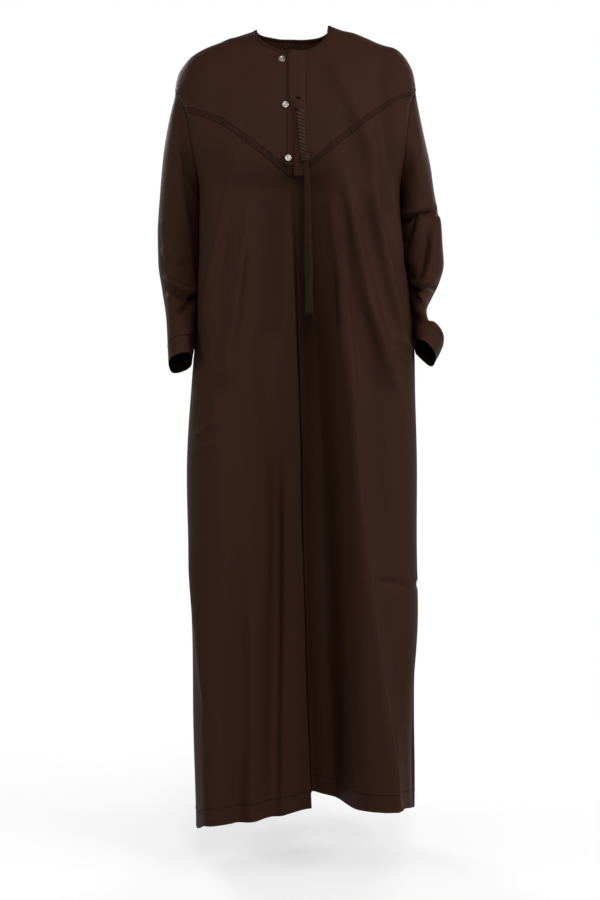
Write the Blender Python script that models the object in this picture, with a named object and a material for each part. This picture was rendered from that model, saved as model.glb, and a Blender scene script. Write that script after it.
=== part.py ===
"""Collarless ankle-length robe with a V yoke, a half placket and a neck tassel.

The cloth keeps the hollow form it has when worn. Metres, +Z up, front towards -Y.
The origin lies between the neck ends of the two shoulder seams, where the robe is carried.
Names ending in _right are on the wearer's right, which is -X.
"""
import math
from collections import namedtuple

import bmesh
import bpy
import numpy as np
from mathutils import Vector

# Cloth and seams
WALL = 0.0016
SEAM = 0.0006
ARMHOLE_GAP = 0.0016
YOKE_GAP = 0.0018
LAYER_GAP = 0.0008

# Heights of the main cuts
HEM = -1.402
UNDERARM = -0.290
SHOULDER_TIP = -0.111
ARMHOLE_REACH = 0.074
ARMHOLE_EDGE_POWER = 7
SIDE_Y = 0.010
BACK_CENTRE_X = 0.003

# Neck opening
NECK_X = -0.007
NECK_HALF_WIDTH = 0.071
NECK_TOP = -0.0015
NECK_DROP_FRONT = 0.0555
NECK_DROP_BACK = 0.016
BINDING_WIDTH = 0.006
BINDING_THICKNESS = 0.0034
BINDING_SHOULDER = 0.75

# Grid sizes of the solids
FRONT_COLUMNS = 36
FRONT_ROWS = 26
YOKE_ROWS = 9
BACK_COLUMNS = 22
BACK_ROWS = 30
FRONT_CROWDING = 1.5
YOKE_CROWDING = 1.3
BACK_CROWDING = 1.9
SLEEVE_SIDES = 22
SLEEVE_ROWS_PER_RING = 2
FORM_LEVELS = 150
FORM_SAMPLES = 240
FORM_CROWDING = 1.8
BELOW_HEM = 0.03

# Placket, snaps and tassel
FLAP_TOP = -0.0505
FLAP_RIGHT_EDGE = 0.0195
FLAP_BOTTOM = -0.268
STAND_LEFT_EDGE = -0.037
STAND_RIGHT_EDGE = -0.0015
PLACKET_WALL = 0.0012
SNAP_DIAMETER = 0.0118
SNAP_HEIGHT = 0.0022
CORD_RADIUS_TOP = 0.0074
CORD_RADIUS_BOTTOM = 0.0056
CORD_FLATNESS = 0.72
CORD_TOP_X = 0.0070
CORD_BOTTOM_X = 0.0125
KNOT_X = 0.0160
KNOT_RADIUS = 0.0066
CORD_TOP = -0.158
KNOT_TOP = -0.2375
KNOT_BOTTOM = -0.2510
STRAND_DIAMETER = 0.0011
STRAND_RINGS = (1, 6, 11, 12)
STRAND_PITCH = 0.00185
STRAND_END = -0.524
TIE_HEIGHT = -0.4635
TIE_X = 0.0228
TIE_CLEARANCE = 0.0005
TIE_HALF_THICKNESS = 0.0011
TIE_HALF_HEIGHT = 0.0026
TIE_STEPS = 18

# Horizontal sections of the worn body. Left and right are where the outline stands, front
# and back are the depths from the side seam, square is 2 for an ellipse and more for a box.
Section = namedtuple("Section", "z left right front back square")
SECTIONS = (
    Section(0.003, -0.055, 0.060, 0.058, 0.048, 2.0),
    Section(-0.005, -0.076, 0.086, 0.064, 0.054, 2.0),
    Section(-0.013, -0.101, 0.112, 0.070, 0.060, 2.0),
    Section(-0.024, -0.130, 0.1415, 0.078, 0.066, 2.0),
    Section(-0.044, -0.177, 0.188, 0.091, 0.076, 2.0),
    Section(-0.064, -0.2015, 0.205, 0.100, 0.086, 2.1),
    Section(-0.086, -0.2145, 0.2135, 0.109, 0.095, 2.1),
    Section(-0.111, -0.219, 0.2165, 0.117, 0.102, 2.2),
    Section(-0.135, -0.2065, 0.208, 0.122, 0.107, 2.2),
    Section(-0.165, -0.195, 0.202, 0.128, 0.112, 2.3),
    Section(-0.222, -0.186, 0.196, 0.136, 0.122, 2.4),
    Section(-0.290, -0.175, 0.190, 0.143, 0.130, 2.6),
    Section(-0.400, -0.175, 0.195, 0.151, 0.133, 2.8),
    Section(-0.477, -0.179, 0.2065, 0.155, 0.135, 2.9),
    Section(-0.560, -0.183, 0.2135, 0.157, 0.139, 3.0),
    Section(-0.650, -0.188, 0.2165, 0.158, 0.142, 3.0),
    Section(-0.804, -0.197, 0.219, 0.160, 0.145, 3.1),
    Section(-1.032, -0.188, 0.220, 0.164, 0.148, 3.3),
    Section(-1.223, -0.186, 0.2155, 0.168, 0.150, 3.5),
    Section(-1.427, -0.181, 0.216, 0.173, 0.152, 3.8),
)

# The edge of the deep fold at the centre front, where the right half lies over the left.
FoldEdge = namedtuple("FoldEdge", "z x size")
FOLD_EDGE = (
    FoldEdge(0.010, -0.002, 0.00),
    FoldEdge(-0.225, -0.003, 0.00),
    FoldEdge(-0.262, -0.006, 0.10),
    FoldEdge(-0.305, -0.008, 0.36),
    FoldEdge(-0.400, -0.006, 0.56),
    FoldEdge(-0.560, 0.001, 0.70),
    FoldEdge(-0.804, 0.008, 0.84),
    FoldEdge(-1.100, 0.016, 0.92),
    FoldEdge(-1.427, 0.030, 1.00),
)
FOLD_SLOPE = 0.095
FOLD_SLOPE_WIDTH = 0.175
FOLD_TUCK = 0.050
FOLD_TUCK_WIDTH = 0.014
FOLD_OVERLAP = 0.013
FOLD_RISE_WIDTH = 0.095
FOLD_UNDER_WIDTH = 0.036

# Folds fade and side seams part within this share of a section's depth.
SIDE_FADE = 0.55

# Softer folds. A fold runs from (x_top, top) to (x_bottom, bottom), stands out by its depth
# and falls away within the width on each of its two sides. A negative depth is a hollow.
FOLD_START = 0.30
FOLD_END = 0.15
Fold = namedtuple("Fold", "top x_top bottom x_bottom depth left_width right_width")
FRONT_FOLDS = (
    Fold(-0.250, 0.060, -1.700, 0.205, 0.024, 0.050, 0.020),
    Fold(-0.300, 0.088, -0.680, 0.185, 0.014, 0.020, 0.013),
    Fold(-0.270, 0.135, -0.620, 0.208, 0.012, 0.022, 0.013),
    Fold(-0.020, 0.055, -0.300, 0.152, 0.006, 0.018, 0.018),
    Fold(-0.280, -0.130, -0.580, -0.176, 0.011, 0.013, 0.018),
    Fold(-0.360, -0.094, -0.660, -0.130, 0.009, 0.013, 0.016),
    Fold(-0.640, -0.033, -1.700, -0.048, -0.014, 0.020, 0.014),
    Fold(-0.900, -0.104, -1.700, -0.104, -0.020, 0.026, 0.022),
    Fold(-0.900, -0.176, -1.700, -0.150, 0.014, 0.010, 0.020),
    Fold(-1.180, 0.193, -1.700, 0.197, 0.016, 0.014, 0.007),
)
BACK_FOLDS = (
    Fold(-0.180, -0.070, -1.500, -0.120, 0.024, 0.030, 0.026),
    Fold(-0.250, 0.020, -1.500, 0.000, -0.026, 0.034, 0.028),
    Fold(-0.200, 0.080, -1.500, 0.115, 0.026, 0.034, 0.024),
    Fold(-0.620, 0.150, -1.500, 0.175, -0.014, 0.022, 0.020),
    Fold(-0.560, -0.140, -1.500, -0.165, -0.012, 0.022, 0.018),
)

# Lower edge of the yoke, from the right armhole to the left armhole.
YokeEdge = namedtuple("YokeEdge", "x z")
YOKE_EDGE = (
    YokeEdge(-0.215, -0.154),
    YokeEdge(-0.184, -0.1635),
    YokeEdge(-0.130, -0.1855),
    YokeEdge(-0.098, -0.208),
    YokeEdge(-0.054, -0.242),
    YokeEdge(-0.010, -0.277),
    YokeEdge(-0.003, -0.280),
    YokeEdge(0.006, -0.275),
    YokeEdge(0.042, -0.246),
    YokeEdge(0.077, -0.218),
    YokeEdge(0.125, -0.179),
    YokeEdge(0.1616, -0.1515),
    YokeEdge(0.186, -0.135),
    YokeEdge(0.215, -0.125),
)

# Rise of the front hem from the right side seam (0) to the left side seam (1).
HemEdge = namedtuple("HemEdge", "across rise")
HEM_EDGE = (
    HemEdge(0.00, -0.018),
    HemEdge(0.06, -0.010),
    HemEdge(0.12, -0.001),
    HemEdge(0.30, 0.002),
    HemEdge(0.50, 0.014),
    HemEdge(0.60, 0.019),
    HemEdge(0.85, 0.015),
    HemEdge(0.93, 0.003),
    HemEdge(1.00, -0.019),
)

# Rings of a sleeve below the armhole, by their outer and inner points as seen from the
# front, the depth position and half depth, how far the front of the ring is lifted, and a
# power that is 1 for a round ring and less for a squarer one.
Ring = namedtuple("Ring", "outer_x outer_z inner_x inner_z y half_depth lift square")
SLEEVE_RIGHT = (
    Ring(-0.2318, -0.167, -0.1790, -0.306, 0.011, 0.074, 0.000, 1.00),
    Ring(-0.2420, -0.225, -0.1775, -0.330, 0.016, 0.071, 0.000, 1.00),
    Ring(-0.2502, -0.300, -0.1772, -0.360, 0.024, 0.068, 0.002, 0.98),
    Ring(-0.2562, -0.375, -0.1772, -0.402, 0.032, 0.066, 0.004, 0.94),
    Ring(-0.2552, -0.428, -0.1790, -0.443, 0.033, 0.066, 0.009, 0.90),
    Ring(-0.2468, -0.482, -0.1822, -0.487, 0.019, 0.065, 0.015, 0.84),
    Ring(-0.2360, -0.537, -0.1852, -0.537, -0.004, 0.063, 0.018, 0.78),
    Ring(-0.2280, -0.616, -0.1890, -0.600, -0.036, 0.062, 0.018, 0.72),
)
SLEEVE_LEFT = (
    Ring(0.2325, -0.186, 0.1932, -0.306, 0.011, 0.074, 0.000, 1.00),
    Ring(0.2445, -0.249, 0.1945, -0.330, 0.016, 0.071, 0.000, 1.00),
    Ring(0.2512, -0.300, 0.1960, -0.360, 0.024, 0.068, 0.002, 0.98),
    Ring(0.2620, -0.358, 0.1985, -0.392, 0.032, 0.066, 0.005, 0.94),
    Ring(0.2705, -0.430, 0.2045, -0.430, 0.032, 0.066, 0.010, 0.90),
    Ring(0.2630, -0.460, 0.2100, -0.456, 0.024, 0.065, 0.013, 0.87),
    Ring(0.2500, -0.486, 0.2130, -0.476, 0.012, 0.063, 0.015, 0.84),
    Ring(0.2370, -0.517, 0.2150, -0.497, 0.000, 0.061, 0.016, 0.82),
    Ring(0.2440, -0.544, 0.2165, -0.517, -0.010, 0.060, 0.017, 0.79),
    Ring(0.2652, -0.570, 0.2178, -0.542, -0.020, 0.059, 0.018, 0.76),
    Ring(0.2500, -0.606, 0.2180, -0.574, -0.034, 0.058, 0.018, 0.72),
)

# Side seam pockets: the slit's middle and half height, and the bag's rings inside the robe.
POCKET_SLIT_HALF = 0.056
POCKET_GAPE = 0.007
POCKET_GAP = 0.0009
POCKET_WALL = 0.0012
PocketRing = namedtuple("PocketRing", "inward y z half_height half_thickness")
POCKET_BAG = (
    PocketRing(0.016, -0.004, -0.012, 0.060, 0.012),
    PocketRing(0.064, -0.052, -0.076, 0.080, 0.019),
    PocketRing(0.104, -0.075, -0.146, 0.036, 0.009),
)
POCKET_SIDES = 8
POCKET_SQUARE = 0.55
POCKET_HEIGHT = -0.605

# Colour, roughness, metallic
Finish = namedtuple("Finish", "color roughness metallic")
CLOTH = Finish((0.032, 0.014, 0.0095), 0.62, 0.0)
BOUND_EDGE = Finish((0.024, 0.010, 0.007), 0.60, 0.0)
POCKETING = Finish((0.020, 0.011, 0.008), 0.85, 0.0)
SNAP_METAL = Finish((0.72, 0.71, 0.69), 0.28, 1.0)
TASSEL_THREAD = Finish((0.055, 0.028, 0.014), 0.50, 0.0)


def clear_scene():
    """Start from an empty scene."""
    for thing in list(bpy.data.objects):
        bpy.data.objects.remove(thing, do_unlink=True)


def material_of(name, finish):
    """One Principled material."""
    made = bpy.data.materials.new(name)
    made.use_nodes = True
    shader = made.node_tree.nodes["Principled BSDF"]
    shader.inputs["Base Color"].default_value = (*finish.color, 1.0)
    shader.inputs["Roughness"].default_value = finish.roughness
    shader.inputs["Metallic"].default_value = finish.metallic
    return made


def smooth_curve(knots, values, at):
    """A smooth curve through the knots that never swings past a value."""
    knots = np.asarray(knots, float)
    values = np.asarray(values, float)
    at = np.clip(at, knots[0], knots[-1])
    step = np.diff(knots)
    slope = np.diff(values) / step
    tangent = np.empty(len(knots))
    tangent[0] = slope[0]
    tangent[-1] = slope[-1]
    same_way = slope[1:] * slope[:-1] > 0
    total = np.where(same_way, slope[1:] + slope[:-1], 1.0)
    tangent[1:-1] = np.where(same_way, 2 * slope[1:] * slope[:-1] / total, 0.0)
    cell = np.clip(np.searchsorted(knots, at, side="right") - 1, 0, len(step) - 1)
    t = (at - knots[cell]) / step[cell]
    start = (1 + 2 * t) * (1 - t) ** 2 * values[cell]
    leave = t * (1 - t) ** 2 * step[cell] * tangent[cell]
    end = t * t * (3 - 2 * t) * values[cell + 1]
    arrive = t * t * (t - 1) * step[cell] * tangent[cell + 1]
    return start + leave + end + arrive


def column_at(table, key, name, at):
    """Read one named column of a table at other values of its key column."""
    rows = sorted(table, key=lambda row: getattr(row, key))
    return smooth_curve([getattr(row, key) for row in rows], [getattr(row, name) for row in rows], at)


def ease(t):
    """Rise from 0 to 1 with level ends."""
    t = np.clip(t, 0.0, 1.0)
    return t * t * (3 - 2 * t)


def armhole_half_depth(z):
    """How far the armhole's edge stands from the side line at a height."""
    middle = (SHOULDER_TIP + UNDERARM) / 2
    half = (SHOULDER_TIP - UNDERARM) / 2
    inside = np.clip(1 - ((z - middle) / half) ** 2, 0.0, None)
    return ARMHOLE_REACH * np.sqrt(inside)


def side_depth(z, depth, out):
    """Depth of a section where out runs from 0 at the side to 1 at the centre. The armhole's
    own edge shapes only what is close to it, and a softer swell carries on from it."""
    middle = (SHOULDER_TIP + UNDERARM) / 2
    half = (SHOULDER_TIP - UNDERARM) / 2
    swell = ARMHOLE_REACH * np.exp(-((z - middle) / half) ** 2)
    near = (1 - out) ** ARMHOLE_EDGE_POWER
    return armhole_half_depth(z) * near + swell * (1 - out - near) + depth * out


def pocket_gape(z):
    """How far a side edge stands off the side line where the pocket's slit is."""
    away = np.clip(np.abs(z - POCKET_HEIGHT) / POCKET_SLIT_HALF, 0.0, 1.0)
    return POCKET_GAPE * (1 - away * away) ** 1.5


def fold_height(folds, x, z):
    """Sum of the soft folds at places on the body."""
    total = np.zeros(np.broadcast(x, z).shape)
    for fold in folds:
        along = (z - fold.top) / (fold.bottom - fold.top)
        path = fold.x_top + (fold.x_bottom - fold.x_top) * along
        width = np.where(x < path, fold.left_width, fold.right_width)
        presence = ease(along / FOLD_START) * ease((1 - along) / FOLD_END)
        total = total + fold.depth * presence * np.exp(-((x - path) / width) ** 2)
    return total


def resample(points, count, crowding=1.0):
    """Points along a polyline, at equal distances or crowded towards its end."""
    steps = np.linalg.norm(np.diff(points, axis=0), axis=1)
    travelled = np.concatenate([[0.0], np.cumsum(steps)])
    wanted = travelled[-1] * (1 - (1 - np.linspace(0.0, 1.0, count)) ** crowding)
    return np.stack([np.interp(wanted, travelled, points[:, axis]) for axis in range(3)], axis=1)


def half_section(z, facing, side, count):
    """One half of a horizontal section, from the side line to the centre, front or back."""
    edge_name = "left" if side < 0 else "right"
    depth_name = "front" if facing < 0 else "back"
    outline = float(column_at(SECTIONS, "z", edge_name, z))
    centre = float(column_at(FOLD_EDGE, "z", "x", z)) if facing < 0 else BACK_CENTRE_X
    depth = float(column_at(SECTIONS, "z", depth_name, z))
    square = float(column_at(SECTIONS, "z", "square", z))
    angle = np.linspace(0.0, math.pi / 2, FORM_SAMPLES)
    across = np.cos(angle) ** (2 / square)
    out = np.sin(angle) ** (2 / square)
    x = centre + (outline - centre) * across
    soft = ease(out / SIDE_FADE)
    out_from_side = side_depth(z, depth, out)
    folds = FRONT_FOLDS if facing < 0 else BACK_FOLDS
    out_from_side = out_from_side + fold_height(folds, x, np.full_like(x, z)) * soft
    if facing < 0:
        size = float(column_at(FOLD_EDGE, "z", "size", z))
        x, out_from_side = add_centre_fold(x, out_from_side, centre, side, size)
    edge_gap = (1 - ease(out / SIDE_FADE)) * (SEAM / 2 + float(pocket_gape(z)))
    y = SIDE_Y + facing * (out_from_side + edge_gap)
    return resample(np.stack([x, y, np.full_like(x, z)], axis=1), count)


def add_centre_fold(x, out, centre, side, size):
    """Lay the right half over the left half along the fold's edge."""
    away = np.abs(x - centre)
    if side < 0:
        return x, out - size * FOLD_SLOPE * (1 - ease(away / FOLD_SLOPE_WIDTH))
    sunk = FOLD_SLOPE + FOLD_TUCK * ease(away / FOLD_TUCK_WIDTH)
    rise = ease((away - FOLD_TUCK_WIDTH) / FOLD_RISE_WIDTH)
    under = np.sin(math.pi * np.clip(away / FOLD_UNDER_WIDTH, 0.0, 1.0))
    return x - size * FOLD_OVERLAP * under, out - size * sunk * (1 - rise)


def body_form(facing, columns):
    """The whole front or back as levels of points, evenly spaced across."""
    climb = 1 - (1 - np.linspace(0.0, 1.0, FORM_LEVELS)) ** FORM_CROWDING
    heights = HEM - BELOW_HEM + (SECTIONS[0].z - HEM + BELOW_HEM) * climb
    half = columns // 2 + 1
    levels = []
    for z in heights:
        near = half_section(z, facing, -1, half)
        far = half_section(z, facing, 1, half)
        levels.append(np.concatenate([near, far[-2::-1]]))
    return heights, np.array(levels)


def cut_panel(form, first, last, bottom, top, rows, crowding=1.0):
    """Cut the columns from first to last between a bottom and a top height for each."""
    heights, levels = form
    grid = []
    for column in range(first, last + 1):
        z = np.linspace(bottom[column], top[column], FORM_SAMPLES)
        path = [np.interp(z, heights, levels[:, column, axis]) for axis in range(2)]
        grid.append(resample(np.stack([path[0], path[1], z], axis=1), rows + 1, crowding))
    return np.array(grid)


def heights_where(form, line):
    """For each column, the height at which it crosses a line z(x) from below."""
    heights, levels = form
    found = []
    for column in range(levels.shape[1]):
        x = levels[:, column, 0]
        over = heights - line(x)
        crossing = np.nonzero(over > 0)[0]
        above = crossing[0] if len(crossing) else len(heights) - 1
        below = max(above - 1, 0)
        part = np.clip(-over[below] / max(over[above] - over[below], 1e-9), 0.0, 1.0)
        found.append(heights[below] + part * (heights[above] - heights[below]))
    return np.array(found)


def yoke_line(x):
    """Height of the yoke's lower edge."""
    return column_at(YOKE_EDGE, "x", "z", x)


def neck_line(drop):
    """Height of the neckline, as a function of x."""
    def line(x):
        away = np.clip(np.abs(x - NECK_X) / NECK_HALF_WIDTH, 0.0, 1.0)
        height = NECK_TOP - drop * np.sqrt(1 - away ** 2)
        return np.where(away < 1.0, height, 1.0)
    return line


def hem_line(form):
    """Height of the front hem for each column."""
    across = np.linspace(0.0, 1.0, form[1].shape[1])
    return HEM + column_at(HEM_EDGE, "across", "rise", across)


def grid_normals(grid, around):
    """Unit normals of a grid of points, which may close on itself in its first direction."""
    if around:
        wrapped = np.concatenate([grid[-1:], grid, grid[:1]])
        first = np.gradient(wrapped, axis=0)[1:-1]
    else:
        first = np.gradient(grid, axis=0)
    second = np.gradient(grid, axis=1)
    normal = np.cross(first, second)
    length = np.linalg.norm(normal, axis=2, keepdims=True)
    return normal / np.maximum(length, 1e-12)


def add_object(name, mesh_builder, material):
    """Wrap a finished bmesh as a named object with faces pointing out."""
    bmesh.ops.recalc_face_normals(mesh_builder, faces=mesh_builder.faces)
    if mesh_builder.calc_volume(signed=True) < 0:
        bmesh.ops.reverse_faces(mesh_builder, faces=mesh_builder.faces)
    mesh = bpy.data.meshes.new(name)
    mesh_builder.to_mesh(mesh)
    mesh_builder.free()
    mesh.materials.append(material)
    mesh.shade_smooth()
    mesh.set_sharp_from_angle(angle=math.radians(50))
    made = bpy.data.objects.new(name, mesh)
    bpy.context.collection.objects.link(made)
    return made


def sheet_solid(name, outer, thickness, material, inward, around=False):
    """A closed wall behind a grid of points. Inward is the way the thickness goes."""
    normal = grid_normals(outer, around)
    middle = outer.reshape(-1, 3).mean(axis=0)
    if inward == "to_middle":
        facing = np.sign(np.sum(normal * (middle - outer), axis=2).mean())
    else:
        facing = np.sign(np.sum(normal * np.array(inward), axis=2).mean())
    inner = outer + normal * facing * thickness
    builder = bmesh.new()
    columns, rows = outer.shape[:2]
    sides = []
    for grid in (outer, inner):
        sides.append([[builder.verts.new(point) for point in column] for column in grid])
    last = columns if around else columns - 1
    for i in range(last):
        following = (i + 1) % columns
        for j in range(rows - 1):
            for side in sides:
                corners = (side[i][j], side[following][j], side[following][j + 1], side[i][j + 1])
                builder.faces.new(corners)
        for j in (0, rows - 1):
            outer_edge = (sides[0][i][j], sides[0][following][j])
            builder.faces.new((*outer_edge, sides[1][following][j], sides[1][i][j]))
    if not around:
        for i in (0, columns - 1):
            for j in range(rows - 1):
                outer_edge = (sides[0][i][j], sides[0][i][j + 1])
                builder.faces.new((*outer_edge, sides[1][i][j + 1], sides[1][i][j]))
    return add_object(name, builder, material)


def squared(wave, power):
    """A cosine or sine made squarer by a power below 1."""
    return np.sign(wave) * np.abs(wave) ** power


def sleeve_grid(rings, side, sides, rows):
    """Points of a sleeve's outer side, from the armhole to the cuff."""
    turn = np.linspace(0.0, 2 * math.pi, sides, endpoint=False)
    middle = (SHOULDER_TIP + UNDERARM) / 2
    half = (SHOULDER_TIP - UNDERARM) / 2
    z = middle + half * np.cos(turn)
    edge_name = "left" if side < 0 else "right"
    x = column_at(SECTIONS, "z", edge_name, z)
    loops = [np.stack([x, SIDE_Y - ARMHOLE_REACH * np.sin(turn), z], axis=1)]
    for ring in rings:
        outer = np.array([ring.outer_x, ring.y, ring.outer_z])
        inner = np.array([ring.inner_x, ring.y, ring.inner_z])
        centre = (outer + inner) / 2
        forward = np.array([0.0, -ring.half_depth, ring.lift])
        across = np.outer(squared(np.cos(turn), ring.square), (outer - inner) / 2)
        loops.append(centre + across + np.outer(squared(np.sin(turn), ring.square), forward))
    loops = np.array(loops)
    knots = np.arange(len(loops))
    wanted = np.linspace(0, len(loops) - 1, rows + 1)
    grid = np.empty((sides, rows + 1, 3))
    for i in range(sides):
        for axis in range(3):
            grid[i, :, axis] = smooth_curve(knots, loops[:, i, axis], wanted)
    along = grid[:, 1] - grid[:, 0]
    grid[:, 0] += ARMHOLE_GAP * along / np.linalg.norm(along, axis=1, keepdims=True)
    grid[:, 0, 0] += side * ARMHOLE_GAP
    return grid


def front_y(x, z):
    """Depth of the yoke's outer face at a place near the centre front."""
    edge = np.where(x < column_at(FOLD_EDGE, "z", "x", z),
                    column_at(SECTIONS, "z", "left", z), column_at(SECTIONS, "z", "right", z))
    centre = column_at(FOLD_EDGE, "z", "x", z)
    square = column_at(SECTIONS, "z", "square", z)
    away = np.clip((x - centre) / (edge - centre), 0.0, 1.0)
    out = (1 - away ** square) ** (1 / square)
    depth = side_depth(z, column_at(SECTIONS, "z", "front", z), out)
    return SIDE_Y - depth - fold_height(FRONT_FOLDS, x, z)


def placket_grid(left_edge, right_edge, top, bottom, lift):
    """A strip that lies on the yoke, moved out from it."""
    z = np.linspace(bottom, top, 13)
    grid = []
    for part in np.linspace(0.0, 1.0, 5):
        x = left_edge(z) + part * (right_edge - left_edge(z))
        grid.append(np.stack([x, front_y(x, z) - lift, z], axis=1))
    return np.array(grid)


def flap_left_edge(z):
    """The flap's free edge leans towards the point of the yoke."""
    heights = [-0.268, -0.246, -0.161, -0.135]
    return np.interp(z, heights, [-0.0050, -0.0070, -0.0088, -0.0141])


def tube_mesh(builder, path, radii, sides, squash=1.0):
    """A closed tube with flat ends through path points, each with its own radius."""
    loops = []
    for point, radius in zip(path, radii):
        loop = []
        for k in range(sides):
            turn = 2 * math.pi * k / sides
            across = Vector((math.cos(turn) * radius, math.sin(turn) * radius * squash, 0.0))
            loop.append(builder.verts.new(Vector(point) + across))
        loops.append(loop)
    for lower, upper in zip(loops, loops[1:]):
        for k in range(sides):
            following = (k + 1) % sides
            builder.faces.new((lower[k], lower[following], upper[following], upper[k]))
    builder.faces.new(list(reversed(loops[0])))
    builder.faces.new(loops[-1])


def build_panels(cloth):
    """Front, yoke and back, cut from one form."""
    front = body_form(-1, FRONT_COLUMNS)
    middle = FRONT_COLUMNS // 2
    yoke_height = heights_where(front, yoke_line)
    neck_height = heights_where(front, neck_line(NECK_DROP_FRONT))
    lower = cut_panel(front, 0, FRONT_COLUMNS, hem_line(front), yoke_height - YOKE_GAP,
                      FRONT_ROWS, FRONT_CROWDING)
    sheet_solid("front_lower", lower, WALL, cloth, (0.0, 1.0, 0.0))
    right_yoke = cut_panel(front, 0, middle, yoke_height, neck_height, YOKE_ROWS, YOKE_CROWDING)
    left_yoke = cut_panel(front, middle, FRONT_COLUMNS, yoke_height, neck_height, YOKE_ROWS, YOKE_CROWDING)
    right_yoke[-1, :, 0] -= SEAM
    left_yoke[0, :, 0] += SEAM
    sheet_solid("yoke_right", right_yoke, WALL, cloth, (0.0, 1.0, 0.0))
    sheet_solid("yoke_left", left_yoke, WALL, cloth, (0.0, 1.0, 0.0))
    back = body_form(1, BACK_COLUMNS)
    back_hem = np.full(BACK_COLUMNS + 1, HEM + 0.010)
    back_neck = heights_where(back, neck_line(NECK_DROP_BACK))
    rear = cut_panel(back, 0, BACK_COLUMNS, back_hem, back_neck, BACK_ROWS, BACK_CROWDING)
    sheet_solid("back", rear, WALL, cloth, (0.0, -1.0, 0.0))
    return np.concatenate([right_yoke[::-1, -2:], rear[1:-1, -2:], left_yoke[::-1, -2:]])


def build_binding(neck_edge, material):
    """A narrow bound edge that carries on from the panels' top edges round the neck."""
    path = neck_edge[:, 1]
    along = np.gradient(path, axis=0)
    along /= np.linalg.norm(along, axis=1, keepdims=True)
    up = path - neck_edge[:, 0]
    up -= along * np.sum(up * along, axis=1, keepdims=True)
    up /= np.linalg.norm(up, axis=1, keepdims=True)
    out = np.cross(along, up)
    out *= np.sign(np.sum(out[:, :2] * (path[:, :2] - np.array([NECK_X, SIDE_Y])), axis=1))[:, None]
    base = path + up * SEAM - out * WALL / 2
    builder = bmesh.new()
    loops = []
    half = BINDING_THICKNESS / 2
    for point, rise, side in zip(base, up, out):
        corners = (-side * half, side * half, side * half + rise * BINDING_WIDTH * BINDING_SHOULDER,
                   rise * BINDING_WIDTH, -side * half + rise * BINDING_WIDTH * BINDING_SHOULDER)
        loops.append([builder.verts.new(point + corner) for corner in corners])
    for lower, upper in zip(loops, loops[1:]):
        for k in range(5):
            following = (k + 1) % 5
            builder.faces.new((lower[k], lower[following], upper[following], upper[k]))
    builder.faces.new(list(reversed(loops[0])))
    builder.faces.new(loops[-1])
    add_object("neck_binding", builder, material)


def build_placket(cloth):
    """The stand under the opening and the flap over it."""
    def stand_left(z):
        return np.full_like(z, STAND_LEFT_EDGE)
    stand = placket_grid(stand_left, STAND_RIGHT_EDGE, NECK_TOP - NECK_DROP_FRONT - 0.0015,
                         FLAP_BOTTOM + 0.012, LAYER_GAP + PLACKET_WALL)
    sheet_solid("placket_stand", stand, PLACKET_WALL, cloth, (0.0, 1.0, 0.0))
    lift = 2 * (LAYER_GAP + PLACKET_WALL)
    flap = placket_grid(flap_left_edge, FLAP_RIGHT_EDGE, FLAP_TOP, FLAP_BOTTOM, lift)
    sheet_solid("placket_flap", flap, PLACKET_WALL, cloth, (0.0, 1.0, 0.0))


def build_snap(name, x, z, metal):
    """A press stud half: a domed ring with a small stud, resting on the placket's stand."""
    profile = ((0.0, 0.0), (0.92, 0.0), (1.0, 0.25), (0.94, 0.62), (0.62, 0.72),
               (0.50, 0.40), (0.30, 0.40), (0.26, 0.95), (0.0, 1.0))
    sides = 14
    builder = bmesh.new()
    step = 0.004
    slope = (front_y(x, z + step) - front_y(x, z - step)) / (2 * step)
    lean = (front_y(x + step, z) - front_y(x - step, z)) / (2 * step)
    out = Vector((float(lean), -1.0, float(slope))).normalized()
    right = Vector((1.0, 0.0, 0.0)).cross(out).normalized()
    up = out.cross(right)
    base = Vector((x, float(front_y(x, z)), z)) + out * (2 * LAYER_GAP + PLACKET_WALL)
    centre_low = builder.verts.new(base)
    centre_high = builder.verts.new(base + out * SNAP_HEIGHT)
    loops = []
    for radius, height in profile[1:-1]:
        loop = []
        for k in range(sides):
            turn = 2 * math.pi * k / sides
            spoke = (right * math.cos(turn) + up * math.sin(turn)) * radius * SNAP_DIAMETER / 2
            loop.append(builder.verts.new(base + spoke + out * height * SNAP_HEIGHT))
        loops.append(loop)
    for k in range(sides):
        following = (k + 1) % sides
        builder.faces.new((centre_low, loops[0][following], loops[0][k]))
        builder.faces.new((centre_high, loops[-1][k], loops[-1][following]))
        for lower, upper in zip(loops, loops[1:]):
            builder.faces.new((lower[k], lower[following], upper[following], upper[k]))
    add_object(name, builder, metal)


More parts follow.
